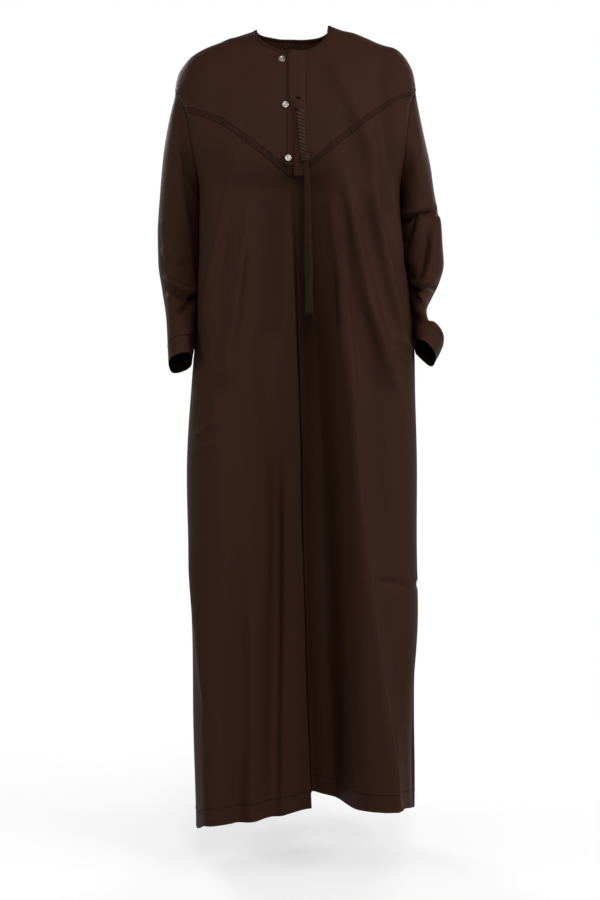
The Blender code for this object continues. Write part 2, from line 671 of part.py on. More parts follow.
def build_pocket(name, side, material):
    """A bag whose mouth lines the slit in the side seam and whose closed end lies inside."""
    edge_name = "left" if side < 0 else "right"
    turn = np.linspace(0.0, 2 * math.pi, POCKET_SIDES, endpoint=False)
    mouth_z = POCKET_HEIGHT + (POCKET_SLIT_HALF - 0.002) * np.cos(turn)
    mouth_x = column_at(SECTIONS, "z", edge_name, mouth_z) - side * (WALL + POCKET_GAP)
    mouth_y = SIDE_Y + np.sin(turn) * 0.7 * pocket_gape(mouth_z)
    loops = [np.stack([mouth_x, mouth_y, mouth_z], axis=1)]
    edge = float(column_at(SECTIONS, "z", edge_name, POCKET_HEIGHT))
    up = squared(np.cos(turn), POCKET_SQUARE)
    over = squared(np.sin(turn), POCKET_SQUARE)
    for ring in POCKET_BAG:
        centre = np.array([edge - side * ring.inward, ring.y, POCKET_HEIGHT + ring.z])
        tall = np.outer(up, [0.0, 0.0, ring.half_height])
        thick = np.outer(over, [-side * ring.half_thickness * 0.7, ring.half_thickness, 0.0])
        loops.append(centre + tall + thick)
    grid = np.array(loops).transpose(1, 0, 2)
    normal = grid_normals(grid, True)
    middle = grid.mean(axis=0)
    facing = np.sign(np.sum(normal * (middle[None] - grid), axis=2).mean())
    inner = grid + normal * facing * POCKET_WALL
    builder = bmesh.new()
    outside = [[builder.verts.new(point) for point in column] for column in grid]
    inside = [[builder.verts.new(point) for point in column] for column in inner]
    rows = grid.shape[1]
    for i in range(POCKET_SIDES):
        following = (i + 1) % POCKET_SIDES
        for layer in (outside, inside):
            for j in range(rows - 1):
                low = (layer[i][j], layer[following][j])
                builder.faces.new((*low, layer[following][j + 1], layer[i][j + 1]))
        outer_edge = (outside[i][0], outside[following][0])
        builder.faces.new((*outer_edge, inside[following][0], inside[i][0]))
    builder.faces.new([column[-1] for column in outside])
    builder.faces.new([column[-1] for column in inside])
    add_object(name, builder, material)


def build_tassel(thread):
    """A twisted cord from the flap's slit, a knot, a bundle of strands and a tie."""
    lift = 2 * (LAYER_GAP + PLACKET_WALL) + LAYER_GAP
    hang_y = float(front_y(np.array(0.010), np.array(FLAP_BOTTOM))) - lift - CORD_RADIUS_TOP
    top_y = float(front_y(np.array(0.006), np.array(CORD_TOP))) - lift - CORD_RADIUS_TOP * CORD_FLATNESS
    z = np.linspace(KNOT_TOP + 0.0004, CORD_TOP, 29)
    x = np.interp(z, [KNOT_TOP, CORD_TOP], [CORD_BOTTOM_X, CORD_TOP_X])
    y = np.interp(z, [KNOT_TOP, CORD_TOP], [hang_y, top_y])
    radius = np.interp(z, [KNOT_TOP, CORD_TOP], [CORD_RADIUS_BOTTOM, CORD_RADIUS_TOP])
    radius = radius * (1 - 0.05 * (1 + np.cos(math.pi * np.arange(len(z)))))
    builder = bmesh.new()
    tube_mesh(builder, np.stack([x, y, z], axis=1), radius, 8, CORD_FLATNESS)
    add_object("tassel_cord", builder, thread)
    builder = bmesh.new()
    shape = ((0.0, 0.70), (0.15, 1.0), (0.35, 1.15), (0.55, 0.95), (0.75, 1.05), (1.0, 0.75))
    path = [(KNOT_X, hang_y, KNOT_BOTTOM + part * (KNOT_TOP - KNOT_BOTTOM)) for part, _ in shape]
    tube_mesh(builder, path, [size * KNOT_RADIUS for _, size in shape], 12)
    build_strands(builder, hang_y)
    made = add_object("tassel_strands", builder, thread)
    union_bodies(made)
    build_tie(hang_y, thread)


def bundle_spots():
    """Places of the strands in the bundle, in rings, in units of the pitch."""
    spots = []
    for ring, count in enumerate(STRAND_RINGS):
        for k in range(count):
            turn = 2 * math.pi * (k + 0.5 * (ring % 2)) / count
            spots.append((ring * math.cos(turn), ring * math.sin(turn)))
    return spots


def build_strands(builder, hang_y):
    """Separate strands whose roots start inside the knot."""
    Level = namedtuple("Level", "z x spread")
    levels = (
        Level(KNOT_BOTTOM + 0.003, KNOT_X, 0.84),
        Level(-0.280, 0.0200, 0.96),
        Level(-0.386, 0.0215, 1.14),
        Level(-0.448, 0.0226, 1.14),
        Level(TIE_HEIGHT, TIE_X, 0.92),
        Level(-0.500, 0.0230, 1.14),
        Level(STRAND_END, 0.0230, 1.36),
    )
    for number, (across, deep) in enumerate(bundle_spots()):
        shortening = 0.0030 * math.sin(number * 2.4) ** 2
        path = []
        for level in levels:
            z = level.z + (shortening if level is levels[-1] else 0.0)
            scale = STRAND_PITCH * level.spread
            path.append((level.x + across * scale, hang_y + deep * scale, z))
        tube_mesh(builder, path[::-1], [STRAND_DIAMETER / 2] * len(path), 3)


def union_bodies(made):
    """Fuse the strands' roots into the knot."""
    bpy.context.view_layer.objects.active = made
    made.select_set(True)
    bpy.ops.object.mode_set(mode="EDIT")
    bpy.ops.mesh.select_all(action="SELECT")
    bpy.ops.mesh.intersect_boolean(operation="UNION", use_self=True, solver="EXACT")
    bpy.ops.object.mode_set(mode="OBJECT")
    made.select_set(False)


def build_tie(hang_y, thread):
    """The thread wound round the bundle."""
    bundle = STRAND_PITCH * 0.92 * (len(STRAND_RINGS) - 1) + STRAND_DIAMETER / 2
    radius = bundle + TIE_CLEARANCE + TIE_HALF_THICKNESS
    builder = bmesh.new()
    loops = []
    for k in range(TIE_STEPS):
        turn = 2 * math.pi * k / TIE_STEPS
        spoke = Vector((math.cos(turn), math.sin(turn), 0.0))
        centre = Vector((TIE_X, hang_y, TIE_HEIGHT)) + spoke * radius
        loop = []
        for m in range(6):
            swing = 2 * math.pi * m / 6
            bulge = spoke * TIE_HALF_THICKNESS * math.cos(swing)
            bulge += Vector((0.0, 0.0, TIE_HALF_HEIGHT * math.sin(swing)))
            loop.append(builder.verts.new(centre + bulge))
        loops.append(loop)
    for k in range(TIE_STEPS):
        lower = loops[k]
        upper = loops[(k + 1) % TIE_STEPS]
        for m in range(6):
            following = (m + 1) % 6
            builder.faces.new((lower[m], lower[following], upper[following], upper[m]))
    add_object("tassel_tie", builder, thread)


def build_robe():
    """All the pieces."""
    clear_scene()
    cloth = material_of("robe_cloth", CLOTH)
    bound = material_of("bound_edge", BOUND_EDGE)
    pocketing = material_of("pocket_cloth", POCKETING)
    metal = material_of("snap_metal", SNAP_METAL)
    thread = material_of("tassel_thread", TASSEL_THREAD)
    neck_edge = build_panels(cloth)
    build_binding(neck_edge, bound)
    for name, rings, side in (("sleeve_right", SLEEVE_RIGHT, -1), ("sleeve_left", SLEEVE_LEFT, 1)):
        grid = sleeve_grid(rings, side, SLEEVE_SIDES, SLEEVE_ROWS_PER_RING * len(rings))
        sheet_solid(name, grid, WALL, cloth, "to_middle", around=True)
    build_placket(cloth)
    for name, x, z in (("snap_top", -0.0250, -0.0680), ("snap_middle", -0.0186, -0.1505),
                       ("snap_bottom", -0.0136, -0.2450)):
        build_snap(name, x, z, metal)
    build_pocket("pocket_right", -1, pocketing)
    build_pocket("pocket_left", 1, pocketing)
    build_tassel(thread)


build_robe()
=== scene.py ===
"""Looks of a collarless ankle-length robe with a V yoke, a half placket and a neck tassel.

Metres, +Z up, front towards -Y. Names ending in _right are on the wearer's right, which is -X.
"""

import math
from collections import namedtuple

import bmesh
import bpy
import numpy as np
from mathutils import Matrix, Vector


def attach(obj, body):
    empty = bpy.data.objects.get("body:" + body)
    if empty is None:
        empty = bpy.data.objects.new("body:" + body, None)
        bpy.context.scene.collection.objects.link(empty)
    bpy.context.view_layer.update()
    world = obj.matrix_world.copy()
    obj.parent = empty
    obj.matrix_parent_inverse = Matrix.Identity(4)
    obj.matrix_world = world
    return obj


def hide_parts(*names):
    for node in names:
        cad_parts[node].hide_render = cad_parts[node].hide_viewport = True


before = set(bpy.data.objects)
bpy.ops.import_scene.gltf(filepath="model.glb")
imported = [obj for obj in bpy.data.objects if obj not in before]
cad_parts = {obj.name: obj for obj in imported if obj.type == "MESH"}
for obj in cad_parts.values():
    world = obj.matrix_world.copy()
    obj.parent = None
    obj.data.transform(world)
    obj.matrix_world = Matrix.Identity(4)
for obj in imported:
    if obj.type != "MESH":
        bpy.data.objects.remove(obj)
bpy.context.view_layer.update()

# Cloth and seams
WALL = 0.0016
SEAM = 0.0006
ARMHOLE_GAP = 0.0016
LAYER_GAP = 0.0008

# Directions to the inside of the cloth in front and behind, and the least divisor
AHEAD = (0.0, 1.0, 0.0)
BEHIND = (0.0, -1.0, 0.0)
TINY = 1e-12

# Heights of the main cuts
HEM = -1.402
UNDERARM = -0.290
SHOULDER_TIP = -0.111
ARMHOLE_REACH = 0.074
ARMHOLE_EDGE_POWER = 7
ARMHOLE_MIDDLE = (SHOULDER_TIP + UNDERARM) / 2
ARMHOLE_HALF = (SHOULDER_TIP - UNDERARM) / 2
SIDE_Y = 0.010
BACK_CENTRE_X = 0.003

# Neck opening
NECK_X = -0.007
NECK_HALF_WIDTH = 0.071
NECK_TOP = -0.0015
NECK_DROP_FRONT = 0.0555
NECK_DROP_BACK = 0.016
BINDING_WIDTH = 0.006
BINDING_THICKNESS = 0.0034

# Placket, snaps and tassel
FLAP_TOP = -0.0505
FLAP_RIGHT_EDGE = 0.0195
FLAP_BOTTOM = -0.268
STAND_LEFT_EDGE = -0.037
STAND_RIGHT_EDGE = -0.0015
PLACKET_WALL = 0.0012
SNAP_DIAMETER = 0.0118
SNAP_HEIGHT = 0.0022
CORD_RADIUS_TOP = 0.0074
CORD_RADIUS_BOTTOM = 0.0056
CORD_FLATNESS = 0.72
CORD_TOP_X = 0.0070
CORD_BOTTOM_X = 0.0125
KNOT_X = 0.0160
CORD_TOP = -0.158
KNOT_TOP = -0.2375
KNOT_BOTTOM = -0.2510
STRAND_END = -0.524
TIE_HEIGHT = -0.4635
TIE_X = 0.0228

# Horizontal sections of the worn body. Left and right are where the outline stands, front
# and back are the depths from the side seam, square is 2 for an ellipse and more for a box.
Section = namedtuple("Section", "z left right front back square")
SECTIONS = (
    Section(0.003, -0.055, 0.060, 0.058, 0.048, 2.0),
    Section(-0.005, -0.076, 0.086, 0.064, 0.054, 2.0),
    Section(-0.013, -0.101, 0.112, 0.070, 0.060, 2.0),
    Section(-0.024, -0.130, 0.1415, 0.078, 0.066, 2.0),
    Section(-0.044, -0.177, 0.188, 0.091, 0.076, 2.0),
    Section(-0.064, -0.2015, 0.205, 0.100, 0.086, 2.1),
    Section(-0.086, -0.2145, 0.2135, 0.109, 0.095, 2.1),
    Section(-0.111, -0.219, 0.2165, 0.117, 0.102, 2.2),
    Section(-0.135, -0.2065, 0.208, 0.122, 0.107, 2.2),
    Section(-0.165, -0.195, 0.202, 0.128, 0.112, 2.3),
    Section(-0.222, -0.186, 0.196, 0.136, 0.122, 2.4),
    Section(-0.290, -0.175, 0.190, 0.143, 0.130, 2.6),
    Section(-0.400, -0.175, 0.195, 0.151, 0.133, 2.8),
    Section(-0.477, -0.179, 0.2065, 0.155, 0.135, 2.9),
    Section(-0.560, -0.183, 0.2135, 0.157, 0.139, 3.0),
    Section(-0.650, -0.188, 0.2165, 0.158, 0.142, 3.0),
    Section(-0.804, -0.197, 0.219, 0.160, 0.145, 3.1),
    Section(-1.032, -0.188, 0.220, 0.164, 0.148, 3.3),
    Section(-1.223, -0.186, 0.2155, 0.168, 0.150, 3.5),
    Section(-1.427, -0.181, 0.216, 0.173, 0.152, 3.8),
)

# The edge of the deep fold at the centre front, where the right half lies over the left.
FoldEdge = namedtuple("FoldEdge", "z x size")
FOLD_EDGE = (
    FoldEdge(0.010, -0.002, 0.00),
    FoldEdge(-0.225, -0.003, 0.00),
    FoldEdge(-0.262, -0.006, 0.10),
    FoldEdge(-0.305, -0.008, 0.36),
    FoldEdge(-0.400, -0.006, 0.56),
    FoldEdge(-0.560, 0.001, 0.70),
    FoldEdge(-0.804, 0.008, 0.84),
    FoldEdge(-1.100, 0.016, 0.92),
    FoldEdge(-1.427, 0.030, 1.00),
)
FOLD_SLOPE = 0.095
FOLD_SLOPE_WIDTH = 0.175
FOLD_TUCK = 0.050
FOLD_TUCK_WIDTH = 0.014
FOLD_OVERLAP = 0.013
FOLD_RISE_WIDTH = 0.095
FOLD_UNDER_WIDTH = 0.036

# Folds fade and the pocket mouths part within this share of a section's depth.
SIDE_FADE = 0.55

# Softer folds. A fold runs from (x_top, top) to (x_bottom, bottom), stands out by its depth
# and falls away within the width on each of its two sides. A negative depth is a hollow.
FOLD_START = 0.30
FOLD_END = 0.15
Fold = namedtuple("Fold", "top x_top bottom x_bottom depth left_width right_width")
FRONT_FOLDS = (
    Fold(-0.250, 0.060, -1.700, 0.205, 0.024, 0.050, 0.020),
    Fold(-0.300, 0.088, -0.680, 0.185, 0.014, 0.020, 0.013),
    Fold(-0.270, 0.135, -0.620, 0.208, 0.012, 0.022, 0.013),
    Fold(-0.020, 0.055, -0.300, 0.152, 0.006, 0.018, 0.018),
    Fold(-0.280, -0.130, -0.580, -0.176, 0.011, 0.013, 0.018),
    Fold(-0.360, -0.094, -0.660, -0.130, 0.009, 0.013, 0.016),
    Fold(-0.640, -0.033, -1.700, -0.048, -0.014, 0.020, 0.014),
    Fold(-0.900, -0.104, -1.700, -0.104, -0.020, 0.026, 0.022),
    Fold(-0.900, -0.176, -1.700, -0.150, 0.014, 0.010, 0.020),
    Fold(-1.180, 0.193, -1.700, 0.197, 0.016, 0.014, 0.007),
)
BACK_FOLDS = (
    Fold(-0.180, -0.070, -1.500, -0.120, 0.024, 0.030, 0.026),
    Fold(-0.250, 0.020, -1.500, 0.000, -0.026, 0.034, 0.028),
    Fold(-0.200, 0.080, -1.500, 0.115, 0.026, 0.034, 0.024),
    Fold(-0.620, 0.150, -1.500, 0.175, -0.014, 0.022, 0.020),
    Fold(-0.560, -0.140, -1.500, -0.165, -0.012, 0.022, 0.018),
)

# Lower edge of the yoke, from the right armhole to the left armhole.
YokeEdge = namedtuple("YokeEdge", "x z")
YOKE_EDGE = (
    YokeEdge(-0.215, -0.154),
    YokeEdge(-0.184, -0.1635),
    YokeEdge(-0.130, -0.1855),
    YokeEdge(-0.098, -0.208),
    YokeEdge(-0.054, -0.242),
    YokeEdge(-0.010, -0.277),
    YokeEdge(-0.003, -0.280),
    YokeEdge(0.006, -0.275),
    YokeEdge(0.042, -0.246),
    YokeEdge(0.077, -0.218),
    YokeEdge(0.125, -0.179),
    YokeEdge(0.1616, -0.1515),
    YokeEdge(0.186, -0.135),
    YokeEdge(0.215, -0.125),
)

# Rise of the front hem from the right side seam (0) to the left side seam (1).
HemEdge = namedtuple("HemEdge", "across rise")
HEM_EDGE = (
    HemEdge(0.00, -0.0340),
    HemEdge(0.06, -0.0340),
    HemEdge(0.12, -0.0320),
    HemEdge(0.16, -0.0240),
    HemEdge(0.20, -0.0136),
    HemEdge(0.24, -0.0104),
    HemEdge(0.28, -0.0115),
    HemEdge(0.36, -0.0090),
    HemEdge(0.40, -0.0095),
    HemEdge(0.44, -0.0060),
    HemEdge(0.48, -0.0020),
    HemEdge(0.51, 0.0015),
    HemEdge(0.55, 0.0180),
    HemEdge(0.60, 0.0110),
    HemEdge(0.68, 0.0130),
    HemEdge(0.76, 0.0200),
    HemEdge(0.80, 0.0195),
    HemEdge(0.84, 0.0160),
    HemEdge(0.88, 0.0090),
    HemEdge(0.92, 0.0005),
    HemEdge(0.96, -0.0090),
    HemEdge(1.00, -0.0190),
)

# Rings of a sleeve below the armhole, by their outer and inner points as seen from the
# front, the depth position and half depth, how far the front of the ring is lifted, and a
# power that is 1 for a round ring and less for a squarer one.
Ring = namedtuple("Ring", "outer_x outer_z inner_x inner_z y half_depth lift square")
SLEEVE_RIGHT = (
    Ring(-0.2318, -0.167, -0.1790, -0.306, 0.011, 0.074, 0.000, 1.00),
    Ring(-0.2420, -0.225, -0.1775, -0.330, 0.016, 0.071, 0.000, 1.00),
    Ring(-0.2502, -0.300, -0.1772, -0.360, 0.024, 0.068, 0.002, 0.98),
    Ring(-0.2562, -0.375, -0.1772, -0.402, 0.032, 0.066, 0.004, 0.94),
    Ring(-0.2552, -0.428, -0.1790, -0.443, 0.033, 0.066, 0.009, 0.90),
    Ring(-0.2468, -0.482, -0.1822, -0.487, 0.019, 0.065, 0.015, 0.84),
    Ring(-0.2360, -0.537, -0.1852, -0.537, -0.004, 0.063, 0.018, 0.78),
    Ring(-0.2280, -0.616, -0.1890, -0.600, -0.036, 0.062, 0.018, 0.72),
)
SLEEVE_LEFT = (
    Ring(0.2325, -0.186, 0.1932, -0.306, 0.011, 0.074, 0.000, 1.00),
    Ring(0.2445, -0.249, 0.1945, -0.330, 0.016, 0.071, 0.000, 1.00),
    Ring(0.2512, -0.300, 0.1960, -0.360, 0.024, 0.068, 0.002, 0.98),
    Ring(0.2620, -0.358, 0.1985, -0.392, 0.032, 0.066, 0.005, 0.94),
    Ring(0.2705, -0.430, 0.2045, -0.430, 0.032, 0.066, 0.010, 0.90),
    Ring(0.2630, -0.460, 0.2100, -0.456, 0.024, 0.065, 0.013, 0.87),
    Ring(0.2500, -0.486, 0.2130, -0.476, 0.012, 0.063, 0.015, 0.84),
    Ring(0.2370, -0.517, 0.2150, -0.497, 0.000, 0.061, 0.016, 0.82),
    Ring(0.2440, -0.544, 0.2165, -0.517, -0.010, 0.060, 0.017, 0.79),
    Ring(0.2652, -0.570, 0.2178, -0.542, -0.020, 0.059, 0.018, 0.76),
    Ring(0.2500, -0.606, 0.2180, -0.574, -0.034, 0.058, 0.018, 0.72),
)

# Side seam pockets: the slit's middle and half height, and the bag's rings inside the robe.
POCKET_SLIT_HALF = 0.056
POCKET_GAPE = 0.007
POCKET_GAPE_POWER = 1.5
POCKET_GAP = 0.0009
PocketRing = namedtuple("PocketRing", "inward y z half_height half_thickness")
POCKET_BAG = (
    PocketRing(0.016, -0.004, -0.012, 0.060, 0.012),
    PocketRing(0.064, -0.052, -0.076, 0.080, 0.019),
    PocketRing(0.104, -0.075, -0.146, 0.036, 0.009),
)
POCKET_SQUARE = 0.55
POCKET_HEIGHT = -0.605
POCKET_SLIT_INSET = 0.002
POCKET_MOUTH_SHARE = 0.7
POCKET_LEAN = 0.7
POCKET_END_SIZE = 0.05
POCKET_UNEVEN = 2

# Grid sizes of the cloth
FRONT_COLUMNS = 250
FRONT_ROWS = 190
YOKE_ROWS = 90
BACK_COLUMNS = 150
BACK_ROWS = 240
SLEEVE_SIDES = 110
SLEEVE_ROWS = 150
PLACKET_ROWS = 120
PLACKET_COLUMNS = 18
POCKET_ROUND = 40
POCKET_LEVELS = 40
FORM_LEVELS = 260
FORM_SAMPLES = 420
FORM_CROWDING = 1.8
BELOW_HEM = 0.04
BACK_HEM_RISE = 0.010
BACK_HEM_REACH = 0.28
ABOVE_CLOTH = 1.0

# Cloth layers
CLOTH_THICKNESS = 0.0007
YOKE_LIFT = 0.0010
YOKE_LIFT_TOP = -0.055
YOKE_LIFT_FADE = 0.04
YOKE_UNDER = 0.004
SLEEVE_UNDER = 0.006
SLEEVE_TUCK = 0.03
SLEEVE_SIDE_FADE = 0.5
SLEEVE_TOP_FADE = 0.02
BODY_CLEARANCE = 0.0012
PRESS_REACH = 0.005
PRESS_SHARE = 0.7
PRESS_START = -0.262
PRESS_START_FADE = 0.03
PRESS_END = -0.615
PRESS_END_FADE = 0.04
STAND_LIFT = LAYER_GAP + PLACKET_WALL + 0.0003
FLAP_LIFT = 2 * (LAYER_GAP + PLACKET_WALL) + 0.0006
FLAP_LOW_END = -0.2755
STAND_LOW_END = -0.2575
STAND_TURN = -0.195
STAND_CORNER = -0.0185
SEATED = 0.0003
Roll = namedtuple("Roll", "left_share left_drop right_share right_drop low_reach low_drop")
STAND_ROLL = Roll(0.52, STAND_LIFT - YOKE_LIFT - SEATED, 0.05, 0.0, 0.014, STAND_LIFT - YOKE_LIFT - SEATED)
FLAP_ROLL = Roll(0.10, 0.0009, 0.22, FLAP_LIFT - YOKE_LIFT - SEATED, 0.024, FLAP_LIFT - YOKE_LIFT - SEATED)
BINDING_SIDES = 14
BINDING_GRIP = 0.0008
BINDING_SQUARE = 0.7
BINDING_ROWS = slice(-6, None, 5)

# The two strips of the placket. A free edge is a row of heights and where it stands at each.
# The flap's is drawn aside where the stand shows beside the cord.
FLAP_FREE_EDGE = (
    (-0.276, -0.246, -0.222, -0.168, -0.150, -0.135),
    (-0.0045, -0.0062, -0.0042, -0.0046, -0.0105, -0.0141),
)
STAND_FREE_EDGE = ((STAND_LOW_END, STAND_TURN), (STAND_CORNER, STAND_LEFT_EDGE))
STAND_BELOW_NECK = 0.0015
STAND_TOP = NECK_TOP - NECK_DROP_FRONT - STAND_BELOW_NECK
Strip = namedtuple("Strip", "left right top bottom lift roll")
STRIPS = {
    "placket_stand": Strip(
        STAND_FREE_EDGE, STAND_RIGHT_EDGE, STAND_TOP, STAND_LOW_END, STAND_LIFT, STAND_ROLL),
    "placket_flap": Strip(
        FLAP_FREE_EDGE, FLAP_RIGHT_EDGE, FLAP_TOP, FLAP_LOW_END, FLAP_LIFT, FLAP_ROLL),
}

# The inside of each piece that doesn't close on itself
INWARD = {name: AHEAD for name in ("front_lower", "yoke_right", "yoke_left", *STRIPS)}
INWARD["back"] = BEHIND

# Angles in degrees from which the edges of a piece are sharp
SNAP_SHARP = 35
CLOTH_SHARP = 40
KNOT_SHARP = 50
ROUND_SHARP = 60
THREAD_SHARP = 70
STITCH_SHARP = 80

# Sewing
STITCH_PITCH = 0.0027
STITCH_LENGTH = 0.0021
STITCH_WIDTH = 0.00055
STITCH_LIFT = 0.0001
STITCH_SPOTS = (0.0, 0.3, 0.7, 1.0)
STITCH_RISE = (0.0, 0.35, 0.35, 0.0)
STITCH_GIRTH = (0.45, 1.0, 1.0, 0.45)
YOKE_LINES = (0.0014, 0.0066, 0.0118)
HEM_LINE = 0.030
CUFF_LINE = 0.034
NECK_LINE = 0.0016
FLAP_LINE = 0.0016
STAND_FOLD = 0.0143
STAND_STITCHES = STAND_FOLD + 0.0008
Line = namedtuple("Line", "label offset half_width depth")
YOKE_SEWN = tuple(Line("from_first", offset, 0.0016, 1.0) for offset in YOKE_LINES) + (
    Line("from_last", NECK_LINE, 0.0010, 0.6),)
FRONT_SEWN = (Line("from_first", HEM_LINE, 0.0014, 0.7),)
BACK_SEWN = (Line("from_first", HEM_LINE, 0.0014, 0.7), Line("from_last", NECK_LINE, 0.0010, 0.6))
SLEEVE_SEWN = (Line("from_last", CUFF_LINE, 0.0014, 0.8), Line("from_first", 0.0010, 0.0016, 0.7))
PLACKET_SEWN = (Line("from_first", FLAP_LINE, 0.0009, 0.8), Line("from_last", FLAP_LINE, 0.0009, 0.8))
# The stand's sewn fold is darkened as painted shadow beside the flap's edge.
STAND_SEWN_AND_FLAP_SHADOW = (Line("from_last", STAND_FOLD, 0.0011, 1.0),)
Sewing = namedtuple("Sewing", "name piece lines ends")
SEWING = (
    Sewing("stitches_yoke_right", "yoke_right", YOKE_LINES, (False,)),
    Sewing("stitches_yoke_left", "yoke_left", YOKE_LINES, (False,)),
    Sewing("stitches_hem_front", "front_lower", (HEM_LINE,), (False,)),
    Sewing("stitches_hem_back", "back", (HEM_LINE,), (False,)),
    Sewing("stitches_cuff_right", "sleeve_right", (CUFF_LINE,), (True,)),
    Sewing("stitches_cuff_left", "sleeve_left", (CUFF_LINE,), (True,)),
    Sewing("stitches_flap", "placket_flap", (FLAP_LINE,), (False, True)),
    Sewing("stitches_stand", "placket_stand", (STAND_STITCHES,), (True,)),
)

# Which pieces are of which cloth, with its sewn lines and how light it is
Cloth = namedtuple("Cloth", "name sewn shade pieces")
CLOTHS = (
    Cloth("cloth_front", FRONT_SEWN, 1.0, "front_lower"),
    Cloth("cloth_yoke", YOKE_SEWN, 1.0, "yoke_right yoke_left"),
    Cloth("cloth_back", BACK_SEWN, 1.0, "back"),
    Cloth("cloth_sleeve", SLEEVE_SEWN, 1.0, "sleeve_right sleeve_left"),
    Cloth("cloth_placket", PLACKET_SEWN, 1.0, "placket_flap flap_loop"),
    Cloth("cloth_stand", STAND_SEWN_AND_FLAP_SHADOW, 1.0, "placket_stand"),
    Cloth("cloth_bound", (), 0.8, "neck_binding"),
    Cloth("cloth_pocket", (), 0.6, "pocket_right pocket_left"),
)

# Slow unevenness of the hanging cloth: wave lengths across and down, and height.
Wave = namedtuple("Wave", "across down height start bend")
UNEVEN = (
    Wave(0.061, 1.90, 0.0008, 0.13, 0.31),
    Wave(0.113, -1.30, 0.0012, 0.47, 0.22),
    Wave(0.037, 0.90, 0.0004, 0.71, 0.17),
    Wave(0.170, 0.34, 0.0008, 0.29, 0.41),
)
UNEVEN_BEND = 1.3
UNEVEN_SPREAD = 7

# Creases. A line runs from (x0, z0) to (x1, z1) as seen from the front and bows to its plus
# side: towards +X for a line that runs down, and up for a line that runs towards +X.
# Minus and plus are its widths on the two sides. A negative height is a trough.
CREASE_FADE = 0.28
SIDE_FADE_REACH = (0.009, 0.022)
SIDE_FADE_HEIGHTS = (-0.72, -0.62)
PUCKER_PITCH = 0.0135
PUCKER_HEIGHT = 0.0009
PUCKER_REACH = 0.011
PUCKER_MIDDLE = 0.005
PUCKER_ALONG = 1.25
PUCKER_SLANT = 0.2
PUCKER_DRIFT = 1.7
PUCKER_DRIFT_PACE = 0.37
PUCKER_BEAT = 0.4
PUCKER_BEAT_PACE = 0.21
Crease = namedtuple("Crease", "x0 z0 x1 z1 bow height minus plus")

# The creases of the front are placed in points of the front view, which is 600 wide and 900
# high: the column of x = 0, the row of the eye's height, and the points in a metre at the
# depth of the front and of the sleeves.
EYE_HEIGHT = -0.46
EYE_COLUMN = 296
EYE_ROW = 280.7
FRONT_SCALE = 570.6
SLEEVE_SCALE = 553
SeenCrease = namedtuple("SeenCrease", "column0 row0 column1 row1 bow height_mm minus plus")


def creases_seen(scale, *rows):
    """Creases from lines in the front view. Their ends and bow are rounded to a millimetre and
    their widths to a tenth of one."""
    made = []
    for row in rows:
        seen = SeenCrease(*row)
        x0, x1 = ((column - EYE_COLUMN) / scale for column in (seen.column0, seen.column1))
        z0, z1 = (EYE_HEIGHT - (level - EYE_ROW) / scale for level in (seen.row0, seen.row1))
        places = [round(value, 3) for value in (x0, z0, x1, z1, seen.bow / scale)]
        widths = (seen.minus / scale, seen.plus / scale)
        sizes = [round(value, 4) for value in (seen.height_mm / 1000, *widths)]
        made.append(Crease(*places, *sizes))
    return made


FRONT_CREASES = creases_seen(
    FRONT_SCALE,
    (329, 165, 352, 410, 0, 6, 6, 3.2),
    (340, 180, 362, 400, 0, -7.5, 3, 9),
    (343, 160, 376, 330, 0, 8, 6, 2.6),
    (360, 270, 404, 400, 0, 7.5, 6, 2.6),
    (356, 175, 388, 335, 0, -7, 3, 11),
    (369, 160, 404, 335, 0, 7.5, 6, 2.6),
    (395, 290, 414, 370, 0, 6.5, 4, 2.6),
    (394, 175, 408, 270, 0, 5, 4, 3),
    (383, 175, 411, 330, 0, -6.5, 3, 8),
    (322, 46, 382, 172, 4, 7, 7, 7),
    (231, 165, 199, 330, 0, 6.5, 3, 5),
    (215, 200, 200, 320, 0, -2.5, 5, 5),
    (249, 190, 230, 350, 0, 6, 3, 5),
    (262, 60, 215, 165, -4, 3, 12, 12),
    (277, 395, 277, 900, 0, -5, 7, 4),
    (268, 420, 262, 820, 0, 3, 9, 6),
    (240, 520, 238, 900, 0, -1.6, 12, 10),
    (346, 300, 420, 900, -11, 5.5, 8, 2.6),
    (355, 300, 429, 900, -11, -13, 4, 20),
    (322, 300, 336, 980, 0, -9, 9, 14),
    (190, 442, 226, 417, 1, 5, 2.6, 3.2),
    (190, 454, 220, 443, 1, 4, 2.2, 3),
    (192, 396, 212, 389, 1, 4, 2.6, 3.2),
    (192, 408, 206, 404, 0, -3, 2.4, 2.4),
    (189, 530, 207, 730, -3, 5, 3, 6),
    (374, 576, 430, 597, 0, -5, 3, 5),
    (374, 570, 430, 591, 0, 2.5, 4, 3),
    (401, 625, 402, 890, 0, -9, 2.5, 12),
    (236, 745, 238, 870, 0, -3, 4, 5),
    (388, 334, 416, 356, 2, 5, 3, 4),
    (388, 348, 417, 370, 2, 4.5, 3, 4),
    (387, 362, 415, 384, 2, 4, 3, 4),
    (372, 32, 395, 270, 2, -7, 7, 9),
    (330, 190, 300, 215, 2, 2.2, 5, 6),
    (262, 190, 284, 225, 2, 2.2, 6, 6),
    (205, 330, 201, 420, 0, -3, 4, 4),
)
SLEEVE_RIGHT_CREASES = creases_seen(
    SLEEVE_SCALE,
    (162, 280, 206, 302, -4, -10, 3, 3),
    (162, 273, 204, 294, -4, 6, 4, 3),
    (176, 318, 204, 291, 1, -9, 2.6, 2.6),
    (166, 293, 186, 312, 0, 5, 4, 4),
    (160, 245, 186, 262, -3, 3.5, 6, 6),
    (176, 205, 194, 240, -3, 3, 6, 6),
    (181, 80, 198, 205, 3, -6, 7, 3),
    (180, 130, 198, 300, 2, -8, 4, 9),
    (172, 322, 194, 333, -2, 2.5, 4, 4),
    (163, 210, 172, 270, -2, 3, 5, 6),
    (188, 330, 192, 352, 0, -3, 3, 3),
)
